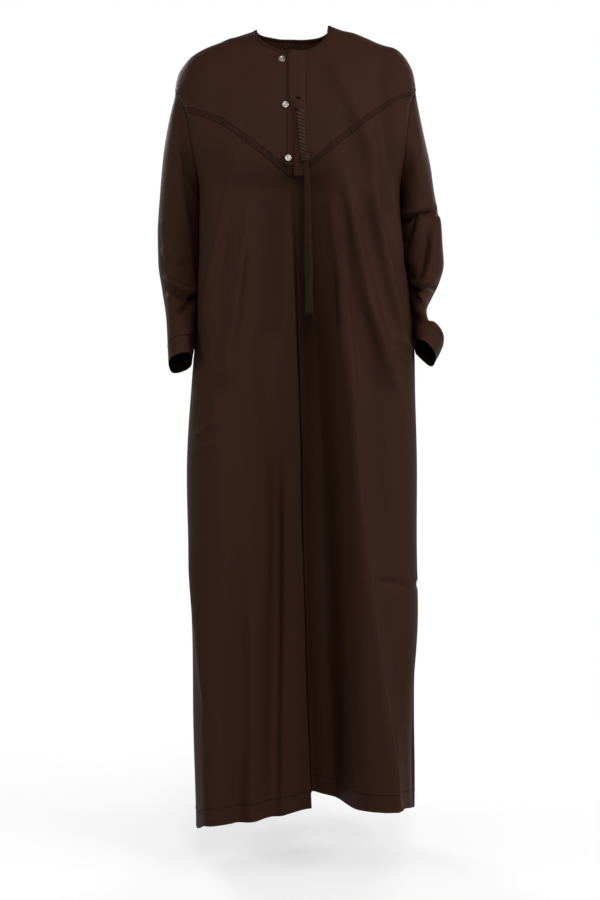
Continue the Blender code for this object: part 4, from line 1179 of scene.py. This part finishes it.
def pocket_grid(side):
    """Points of a soft bag whose mouth lines the slit in the side seam and whose closed end
    lies inside."""
    turn = full_turn(POCKET_ROUND)
    up = squared(np.cos(turn), POCKET_SQUARE)
    over = squared(np.sin(turn), POCKET_SQUARE)
    mouth_z = POCKET_HEIGHT + (POCKET_SLIT_HALF - POCKET_SLIT_INSET) * np.cos(turn)
    mouth_x = outline_at(side, mouth_z) - side * (WALL + POCKET_GAP)
    mouth_y = SIDE_Y + np.sin(turn) * POCKET_MOUTH_SHARE * pocket_gape(mouth_z)
    loops = [np.stack([mouth_x, mouth_y, mouth_z], axis=1)]
    edge = float(outline_at(side, POCKET_HEIGHT))
    for ring in POCKET_BAG:
        centre = np.array([edge - side * ring.inward, ring.y, POCKET_HEIGHT + ring.z])
        tall = np.outer(up, [0.0, 0.0, ring.half_height])
        thick = np.outer(over, [-side * ring.half_thickness * POCKET_LEAN, ring.half_thickness, 0.0])
        loops.append(centre + tall + thick)
    end = loops[-1].mean(axis=0)
    loops.append(end + (loops[-1] - end) * POCKET_END_SIZE)
    grid = smooth_levels(loops, POCKET_LEVELS)
    return push_out(grid, uneven(grid[:, :, 1] * POCKET_UNEVEN, grid[:, :, 2]))


def placket_strip(strip):
    """Points of a strip on the yoke, with its edges rolled down to what lies under it."""
    roll = strip.roll
    z = np.linspace(strip.bottom, strip.top, PLACKET_ROWS)
    low = roll.low_drop * (1 - ease((z - strip.bottom) / roll.low_reach))
    left_edge = np.interp(z, *strip.left)
    grid = []
    for part in np.linspace(0.0, 1.0, PLACKET_COLUMNS):
        x = left_edge + part * (strip.right - left_edge)
        left = roll.left_drop * (1 - ease(part / roll.left_share))
        right = roll.right_drop * (1 - ease((1 - part) / roll.right_share))
        height = crease_height(FRONT_CREASES, x, z) + uneven(x, z) - np.maximum(low, left + right)
        grid.append(np.stack([x, front_y(x, z) - strip.lift - height, z], axis=1))
    return np.array(grid)


def stitch_row(path, out):
    """Short raised stitches along a path, as a stack of rings for each stitch."""
    travelled = distances(path)
    count = max(int(travelled[-1] / STITCH_PITCH), 1)
    rise = np.array(STITCH_RISE) * STITCH_WIDTH
    thick = np.array(STITCH_GIRTH) * STITCH_WIDTH / 2
    stitches = []
    for k in range(count):
        start = (k + 0.5) * travelled[-1] / count - STITCH_LENGTH / 2
        centre = read_along(start + STITCH_LENGTH * np.array(STITCH_SPOTS), travelled, path)
        facing = read_along(start, travelled, out)
        side = unit(np.cross(centre[-1] - centre[0], facing))
        corners = np.stack([side, facing, -side, -facing])
        spine = centre[:, None] + facing * rise[:, None, None]
        stitches.append(spine + corners * thick[:, None, None])
    return stitches


def row_at(grid, distance, inward, from_end):
    """A path on the cloth at a distance from its first or last row, with the outward directions."""
    normal = -inward_normals(grid, inward)
    travelled = lengths_along(grid, 1)
    if from_end:
        travelled = (travelled[:, -1:] - travelled)[:, ::-1]
        grid = grid[:, ::-1]
        normal = normal[:, ::-1]
    path = np.array([read_along(distance, *column) for column in zip(travelled, grid)])
    out = np.array([read_along(distance, *column) for column in zip(travelled, normal)])
    if inward is None:
        path = np.concatenate([path, path[:1]])
        out = np.concatenate([out, out[:1]])
    return path + out * STITCH_LIFT, out


def build_snap(name, x, z, metal):
    """A press stud half: a domed ring round a sunk disc with a small stud, on the stand."""
    slope = (front_y(x, z + SLOPE_STEP) - front_y(x, z - SLOPE_STEP)) / (2 * SLOPE_STEP)
    lean = (front_y(x + SLOPE_STEP, z) - front_y(x - SLOPE_STEP, z)) / (2 * SLOPE_STEP)
    out = Vector((float(lean), -1.0, float(slope))).normalized()
    right = Vector((1.0, 0.0, 0.0)).cross(out).normalized()
    base = Vector((x, float(front_y(x, z)), z)) + out * (STAND_LIFT + SNAP_CLEARANCE)
    turn = full_turn(SNAP_SIDES)
    spokes = np.outer(np.cos(turn), right) + np.outer(np.sin(turn), out.cross(right))
    rings = []
    for radius, height in SNAP_PROFILE:
        ring = np.array(base) + spokes * radius * SNAP_DIAMETER / 2
        rings.append(ring + np.array(out) * height * SNAP_HEIGHT)
    made = tubes("robe_" + name, [np.array(rings)], metal, SNAP_SHARP)
    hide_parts(name)
    return made


def on_flap(x, z, lift):
    """Places above the flap's outer side."""
    return np.stack([x, front_y(x, z) - FLAP_LIFT - lift, z], axis=-1)


def build_slits(material):
    """Worked slits in the flap that the loop and the cord come out of, each a thin near-black patch of
    painted shade over its opening.
    """
    turn = full_turn(SLIT_SIDES)
    stacks = []
    for slit in SLITS:
        x = slit.x + slit.half_width * np.cos(turn)
        z = slit.z + slit.half_height * np.sin(turn) + slit.tilt * (x - slit.x)
        stacks.append(np.array([on_flap(x, z, SLIT_LIFT), on_flap(x, z, 0.0)]))
    made = tubes("robe_flap_slits", stacks, material, CLOTH_SHARP)
    return made


def build_loop(cloth):
    """A short flat loop of cloth that stands off the flap between the slits."""
    part = np.linspace(0.0, 1.0, LOOP_STEPS)
    heights = LOOP.top + (LOOP.bottom - LOOP.top) * part
    lifts = LOOP.rise * np.sin(math.pi * part) ** LOOP_ROUNDNESS
    turn = full_turn(BINDING_SIDES)
    x = LOOP.x + LOOP.half_width * np.cos(turn)
    rings = np.array([on_flap(x, np.full_like(x, z), lift) for z, lift in zip(heights, lifts)])
    rings[:, :, 1] -= LOOP.thickness * np.sin(turn)
    made = tubes("robe_flap_loop", [rings], cloth, ROUND_SHARP)
    return made


def twisted_cord(name, path, radius, material):
    """A cord of twisted plies round a path that hangs down."""
    along = np.linspace(0.0, 1.0, len(path))
    reach = radius * PLY_REACH
    size = (radius * PLY_SIZE)[:, None, None]
    turn = full_turn(CORD_PLY_SIDES)[:, None]
    stacks = []
    for ply in range(CORD_PLIES):
        angle = 2 * math.pi * (CORD_TURNS * along + ply / CORD_PLIES)
        ply_y = np.sin(angle) * reach * CORD_FLATNESS
        centre = path + np.stack([np.cos(angle) * reach, ply_y, 0 * angle], axis=1)
        tangent = unit(np.gradient(centre, axis=0))
        side = unit(np.cross(tangent, np.array([0.0, 1.0, 0.0])))
        depth = np.cross(side, tangent)
        wide = np.cos(turn) * side[:, None] * size
        deep = np.sin(turn) * depth[:, None] * size * CORD_FLATNESS
        stacks.append(centre[:, None] + wide + deep)
    return tubes(name, stacks, material, THREAD_SHARP)


def build_knot_core(centre, material):
    """A turned form that fills the knot."""
    turn = full_turn(KNOT_SIDES)
    spokes = np.stack([np.cos(turn), np.sin(turn), 0 * turn], axis=1)
    up = np.array([0.0, 0.0, 1.0])
    rings = [np.array(centre) + spokes * radius + up * height for radius, height in KNOT_PROFILE]
    return tubes("robe_tassel_knot", [np.array(rings)], material, KNOT_SHARP)


def build_strands(hang_y, material):
    """The tassel's strands, spread over a disc and each rooted in the knot."""
    heights = np.linspace(KNOT_BOTTOM + STRAND_ROOT, STRAND_END, STRAND_STEPS)
    axis = column_at(BUNDLE, "z", "x", heights)
    spread = column_at(BUNDLE, "z", "radius", heights)
    travelled = (heights - heights[0]) / (heights[-1] - heights[0])
    stacks = []
    for number in range(STRANDS):
        reach = math.sqrt((number + 0.5) / STRANDS) * spread
        sway = STRAND_SWAY * np.sin(travelled * STRAND_SWAY_PACE + number * STRAND_SWAY_START)
        turned = number * GOLDEN_ANGLE + BUNDLE_TWIST * travelled + sway
        shorter = STRAND_SHORTER * math.sin(number * STRAND_SHORTER_PACE) ** 2
        drop = heights + shorter * travelled ** STRAND_END_POWER
        middle = np.stack([axis + np.cos(turned) * reach, hang_y + np.sin(turned) * reach, drop], axis=1)
        swing = full_turn(STRAND_SIDES) + number
        corners = STRAND_HALF * np.stack([np.cos(swing), np.sin(swing), 0 * swing], axis=1)
        stacks.append(middle[:, None] + corners)
    return tubes("robe_tassel_strands", stacks, material, STITCH_SHARP)


def wound_ring(name, centre, radius, thickness, wraps, rise, material, tilt=0.0):
    """Turns of thread wound round the tassel, lying one above the other."""
    steps = WIND_STEPS * wraps
    turn = np.linspace(0.0, 2 * math.pi * wraps, steps + 1)
    spoke = np.stack([np.cos(turn), np.sin(turn), 0 * turn], axis=1)
    swing = full_turn(WIND_SIDES)
    middle = np.array(centre) + spoke * radius
    middle[:, 2] += np.linspace(-0.5, 0.5, steps + 1) * rise + tilt * np.cos(turn) * radius
    rings = middle[:, None] + spoke[:, None] * (thickness * np.cos(swing))[None, :, None]
    rings[:, :, 2] += thickness * np.sin(swing)
    return tubes(name, [rings], material, THREAD_SHARP)


def build_tassel(cord_thread, thread, dark_thread):
    """Twisted cord, knot, strands and tie that hang from the flap's lower slit."""
    lift = FLAP_LIFT + LAYER_GAP
    hang_y = float(front_y(HANG_X, FLAP_BOTTOM)) - lift - CORD_RADIUS_TOP
    top_y = float(front_y(CORD_SEAT_X, CORD_TOP)) - lift - CORD_RADIUS_TOP * CORD_FLATNESS
    z = np.linspace(CORD_TOP, KNOT_TOP - CORD_ROOT, CORD_STEPS)
    part = (z - CORD_TOP) / (KNOT_TOP - CORD_TOP)
    path_x = CORD_TOP_X + part * (CORD_BOTTOM_X - CORD_TOP_X)
    path = np.stack([path_x, top_y + part * (hang_y - top_y), z], axis=1)
    radius = CORD_RADIUS_TOP + part * (CORD_RADIUS_BOTTOM - CORD_RADIUS_TOP)
    radius = radius * (CORD_START_SIZE + (1 - CORD_START_SIZE) * ease(part / CORD_START_REACH))
    cord = twisted_cord("robe_tassel_cord", path, radius, cord_thread)
    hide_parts("tassel_cord")
    pieces = [cord, build_knot_core((KNOT_X, hang_y, (KNOT_TOP + KNOT_BOTTOM) / 2), thread)]
    for wind in KNOT_WINDS:
        centre = (KNOT_X, hang_y, KNOT_BOTTOM + wind.height)
        pieces.append(wound_ring(wind.name, centre, wind.radius, wind.thickness, 1, 0.0, thread, wind.tilt))
    strands = build_strands(hang_y, thread)
    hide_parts("tassel_strands")
    centre = (TIE_X, hang_y, TIE_HEIGHT)
    radius = float(column_at(BUNDLE, "z", "radius", TIE_HEIGHT)) + TIE_THREAD
    tie = wound_ring("robe_tassel_tie", centre, radius, TIE_THREAD, TIE_WRAPS, TIE_RISE, dark_thread)
    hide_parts("tassel_tie")


def feed(tree, node, values):
    """Give inputs of a node numbers, vectors or colours, or the sockets that feed them."""
    for slot, value in values.items():
        if isinstance(value, bpy.types.NodeSocket):
            tree.links.new(value, node.inputs[slot])
        elif isinstance(value, tuple):
            size = len(node.inputs[slot].default_value)
            node.inputs[slot].default_value = (*value, 1.0)[:size]
        elif value is not None:
            node.inputs[slot].default_value = value


def add_node(tree, kind, values, **settings):
    """Add a shader node with its settings and inputs, and give back its outputs."""
    node = tree.nodes.new("ShaderNode" + kind)
    for name, setting in settings.items():
        setattr(node, name, setting)
    feed(tree, node, values)
    return node.outputs


def add_math(tree, operation, first, second=None):
    """A math node fed by sockets or numbers."""
    return add_node(tree, "Math", {0: first, 1: second}, operation=operation)[0]


def add_noise(tree, place, scale, stretch=(1.0, 1.0, 1.0), detail=2.0):
    """Noise over stretched coordinates."""
    stretched = add_node(tree, "Mapping", {"Vector": place, "Scale": stretch})[0]
    return add_node(tree, "TexNoise", {"Vector": stretched, "Scale": scale, "Detail": detail})[0]


def add_wave(tree, place, pitch, direction):
    """Even bands with a pitch in metres."""
    values = {"Vector": place, "Scale": math.pi / 10 / pitch, "Distortion": 0.0}
    return add_node(tree, "TexWave", values, bands_direction=direction)["Fac"]


def blend_colors(tree, share, first, second):
    """Mix two colours, each a socket or three numbers."""
    return add_node(tree, "Mix", {"Factor": share, 6: first, 7: second}, data_type="RGBA")[2]


def start_material(name):
    """A material with its tree and Principled shader."""
    made = bpy.data.materials.new(name)
    made.use_nodes = True
    tree = made.node_tree
    return made, tree, tree.nodes["Principled BSDF"]


def add_bump(tree, height, distance, strength, below=None):
    """A bump, laid over another one if given."""
    values = {"Height": height, "Distance": distance, "Strength": strength, "Normal": below}
    return add_node(tree, "Bump", values)[0]


def sewn_groove(tree, line):
    """The line's depth on a sewn line, falling to 0 beside it."""
    from_edge = add_node(tree, "Attribute", {}, attribute_name=line.label)["Fac"]
    away = add_math(tree, "ABSOLUTE", add_math(tree, "SUBTRACT", from_edge, line.offset))
    near = add_math(tree, "SUBTRACT", 1.0, add_math(tree, "DIVIDE", away, line.half_width))
    return add_math(tree, "MULTIPLY", add_math(tree, "MAXIMUM", near, 0.0), line.depth)


def cloth_material(name, lines, shade):
    """Dark brown suiting: fine weave, slubs, slow colour changes and the dents of its sewn lines, with
    painted shade darkening the dents.
    """
    made, tree, shader = start_material(name)
    flat = add_node(tree, "UVMap", {}, uv_map="flat_cloth")[0]
    place = add_node(tree, "TexCoord", {})["Object"]
    slow = add_noise(tree, place, SLOW_SCALE, detail=3.0)
    streak = add_noise(tree, flat, 1.0, STREAK_STRETCH, 3.0)
    colors = (CLOTH_COLOR, CLOTH_COLOR_DEEP, CLOTH_COLOR_PALE)
    tone, deep, pale = (tuple(channel * shade for channel in color) for color in colors)
    color = blend_colors(tree, slow, tone, deep)
    color = blend_colors(tree, add_math(tree, "MULTIPLY", streak, STREAK_SHARE), color, pale)
    warp = add_wave(tree, flat, WEAVE_PITCH, "X")
    weft = add_wave(tree, flat, WEFT_PITCH, "Y")
    weave = add_math(tree, "ADD", add_math(tree, "MULTIPLY", warp, weft), streak)
    normal = add_bump(tree, weave, WEAVE_RELIEF, WEAVE_STRENGTH)
    normal = add_bump(tree, slow, SLOW_RELIEF, SLOW_STRENGTH, normal)
    grooves = None
    for line in lines:
        groove = sewn_groove(tree, line)
        grooves = groove if grooves is None else add_math(tree, "MAXIMUM", grooves, groove)
    if grooves is not None:
        # Painted shade: the cloth is darkened in the dents of its sewn lines, which also get a bump.
        color = blend_colors(tree, add_math(tree, "MULTIPLY", grooves, SEWN_DENT_SHADE_SHARE), color, SEWN_DENT_SHADE_COLOR)
        dent = add_math(tree, "SUBTRACT", 1.0, grooves)
        normal = add_bump(tree, dent, SEWN_RELIEF, SEWN_STRENGTH, normal)
    rough = add_math(tree, "MULTIPLY", streak, ROUGHNESS_RANGE)
    rough = add_math(tree, "ADD", rough, CLOTH_ROUGHNESS - ROUGHNESS_RANGE / 2)
    looks = {"Base Color": color, "Roughness": rough, "Normal": normal}
    feed(tree, shader, {**looks, "Specular IOR Level": CLOTH_SPECULAR})
    return made


def thread_material(name, color, deep, tip=None):
    """Silky thread with fine twist lines, darker towards the tip where given."""
    made, tree, shader = start_material(name)
    place = add_node(tree, "TexCoord", {})["Object"]
    fibre = add_noise(tree, place, 1.0, FIBRE_STRETCH, 2.0)
    tone = blend_colors(tree, fibre, deep, color)
    if tip is not None:
        height = add_node(tree, "SeparateXYZ", {0: place})[2]
        below = add_math(tree, "SUBTRACT", TIP_HEIGHT, height)
        share = add_math(tree, "MAXIMUM", add_math(tree, "MULTIPLY", below, TIP_STEEPNESS), 0.0)
        tone = blend_colors(tree, add_math(tree, "MINIMUM", share, 1.0), tone, tip)
    normal = add_bump(tree, fibre, FIBRE_RELIEF, FIBRE_STRENGTH)
    looks = {"Base Color": tone, "Roughness": THREAD_ROUGHNESS, "Normal": normal}
    feed(tree, shader, {**looks, "Specular IOR Level": THREAD_SPECULAR})
    return made


def slit_shade_material(name):
    """Painted shade in the opening of a worked slit: near-black and matt."""
    made, tree, shader = start_material(name)
    feed(tree, shader, {"Base Color": SLIT_OPENING_SHADE, "Roughness": 1.0, "Specular IOR Level": 0.0})
    return made


def metal_material(name):
    """Satin nickel with faint wear."""
    made, tree, shader = start_material(name)
    wear = add_noise(tree, add_node(tree, "TexCoord", {})["Object"], METAL_WEAR_SCALE, detail=3.0)
    color = blend_colors(tree, wear, METAL_COLOR, METAL_COLOR_PALE)
    rough = add_math(tree, "ADD", add_math(tree, "MULTIPLY", wear, METAL_WEAR), METAL_ROUGHNESS)
    feed(tree, shader, {"Base Color": color, "Roughness": rough, "Metallic": 1.0})
    return made


def build_floor():
    """A pale floor that melts into the white surroundings away from the robe."""
    made, tree, shader = start_material("studio_floor")
    looks = {"Base Color": FLOOR_COLOR, "Roughness": FLOOR_ROUGHNESS}
    feed(tree, shader, {**looks, "Specular IOR Level": FLOOR_SPECULAR})
    place = add_node(tree, "TexCoord", {})["Object"]
    level = add_node(tree, "VectorMath", {0: place, 1: (1.0, 1.0, 0.0)}, operation="MULTIPLY")[0]
    away = add_node(tree, "VectorMath", {0: level}, operation="LENGTH")["Value"]
    reach = {"From Min": FLOOR_FADE[0], "From Max": FLOOR_FADE[1], "To Min": FLOOR_GLOW}
    fade = add_node(tree, "MapRange", {"Value": away, **reach}, interpolation_type="SMOOTHSTEP")
    glow = add_node(tree, "Emission", {})[0]
    mix = add_node(tree, "MixShader", {0: fade["Result"], 1: shader.outputs[0], 2: glow})[0]
    feed(tree, tree.nodes["Material Output"], {"Surface": mix})
    mesh = bpy.data.meshes.new("studio_floor")
    far = FLOOR_REACH
    corners = [(-far, -far, FLOOR), (far, -far, FLOOR), (far, far, FLOOR), (-far, far, FLOOR)]
    mesh.from_pydata(corners, [], [(0, 1, 2, 3)])
    mesh.materials.append(made)
    floor = link_object("studio_floor", mesh)
    floor.visible_diffuse = False


def build_lamps():
    """Soft round lamps that the camera doesn't see."""
    for lamp in LAMPS:
        data = bpy.data.lights.new(lamp.name, "AREA")
        data.energy = lamp.power
        data.shape = "DISK"
        data.size = lamp.size
        thing = link_object(lamp.name, data)
        thing.location = lamp.place
        aim = Vector(lamp.aim) - Vector(lamp.place)
        thing.rotation_euler = aim.to_track_quat("-Z", "Y").to_euler()
        thing.visible_camera = False


def build_surroundings():
    """White surroundings that give less light than they show."""
    world = bpy.data.worlds.new("studio")
    world.use_nodes = True
    tree = world.node_tree
    white = {"Color": (1.0, 1.0, 1.0)}
    feed(tree, tree.nodes["Background"], {**white, "Strength": AMBIENT})
    seen = add_node(tree, "Background", white)[0]
    camera_ray = add_node(tree, "LightPath", {})["Is Camera Ray"]
    ambient = tree.nodes["Background"].outputs[0]
    mix = add_node(tree, "MixShader", {0: camera_ray, 1: ambient, 2: seen})[0]
    feed(tree, tree.nodes["World Output"], {"Surface": mix})
    bpy.context.scene.world = world
    bpy.context.scene.view_settings.view_transform = "Standard"


def build_camera():
    """The camera, level with the chest and shifted down to frame the whole robe."""
    camera = bpy.data.cameras.new("camera")
    camera.sensor_width = CAMERA_SENSOR
    camera.lens = CAMERA_LENS
    camera.shift_x = CAMERA_SHIFT_X
    camera.shift_y = CAMERA_SHIFT_Y
    eye = link_object("camera", camera)
    eye.location = CAMERA_PLACE
    eye.rotation_euler = (math.pi / 2, 0.0, 0.0)
    bpy.context.scene.camera = eye


def build_cloth(cloths):
    """The robe's cloth pieces, and the grids of points that they are made on."""
    grids = panel_grids()
    for name, rings, side, ahead, behind in SLEEVES:
        grids[name] = dressed_sleeve(rings, side, ahead, behind)
    for name, strip in STRIPS.items():
        grids[name] = placket_strip(strip)
    for name, side in (("pocket_right", -1), ("pocket_left", 1)):
        grids[name] = pocket_grid(side)
    pieces = {}
    for name, grid in grids.items():
        sewn_axis = 0 if name in STRIPS else 1
        label = "robe_front" if name == "front_lower" else "robe_" + name
        pieces[name] = cloth_piece(label, grid, cloths[name], INWARD.get(name), sewn_axis)
    pieces["neck_binding"] = build_binding(grids, cloths["neck_binding"])
    for name, piece in pieces.items():
        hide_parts(name)
    return pieces, grids


def build_sewing(grids, thread):
    """The rows of stitches, a piece for each place that is sewn."""
    pieces = {}
    for sewing in SEWING:
        grid = grids[sewing.piece]
        if sewing.piece in STRIPS:
            grid = grid.transpose(1, 0, 2)
        inward = INWARD.get(sewing.piece)
        rows = [row_at(grid, line, inward, end) for end in sewing.ends for line in sewing.lines]
        stitches = [rings for path, out in rows for rings in stitch_row(path, out)]
        piece = tubes("robe_" + sewing.name, stitches, thread, STITCH_SHARP)
        pieces[sewing.name] = piece
    return pieces


def build_looks():
    """Every piece of the robe, its sewing and its finish."""
    cloths = {}
    for cloth in CLOTHS:
        made = cloth_material(cloth.name, cloth.sewn, cloth.shade)
        cloths.update((piece, made) for piece in cloth.pieces.split())
    pieces, grids = build_cloth(cloths)
    sewing = thread_material("sewing_thread", SEWING_COLOR, SEWING_COLOR_DEEP)
    pieces.update(build_sewing(grids, sewing))
    metal = metal_material("stud_metal")
    for snap in SNAPS:
        build_snap(snap.name, snap.x, snap.z, metal)
    build_slits(slit_shade_material("slit_painted_shade"))
    build_loop(cloths["flap_loop"])
    cord = thread_material("cord_thread", CORD_COLOR, CORD_COLOR_DEEP)
    tassel = thread_material("tassel_thread", TASSEL_COLOR, TASSEL_COLOR_DEEP, TASSEL_TIP)
    build_tassel(cord, tassel, thread_material("tie_thread", TIE_COLOR, TASSEL_COLOR_DEEP))


build_floor()
build_lamps()
build_surroundings()
build_camera()
build_looks()
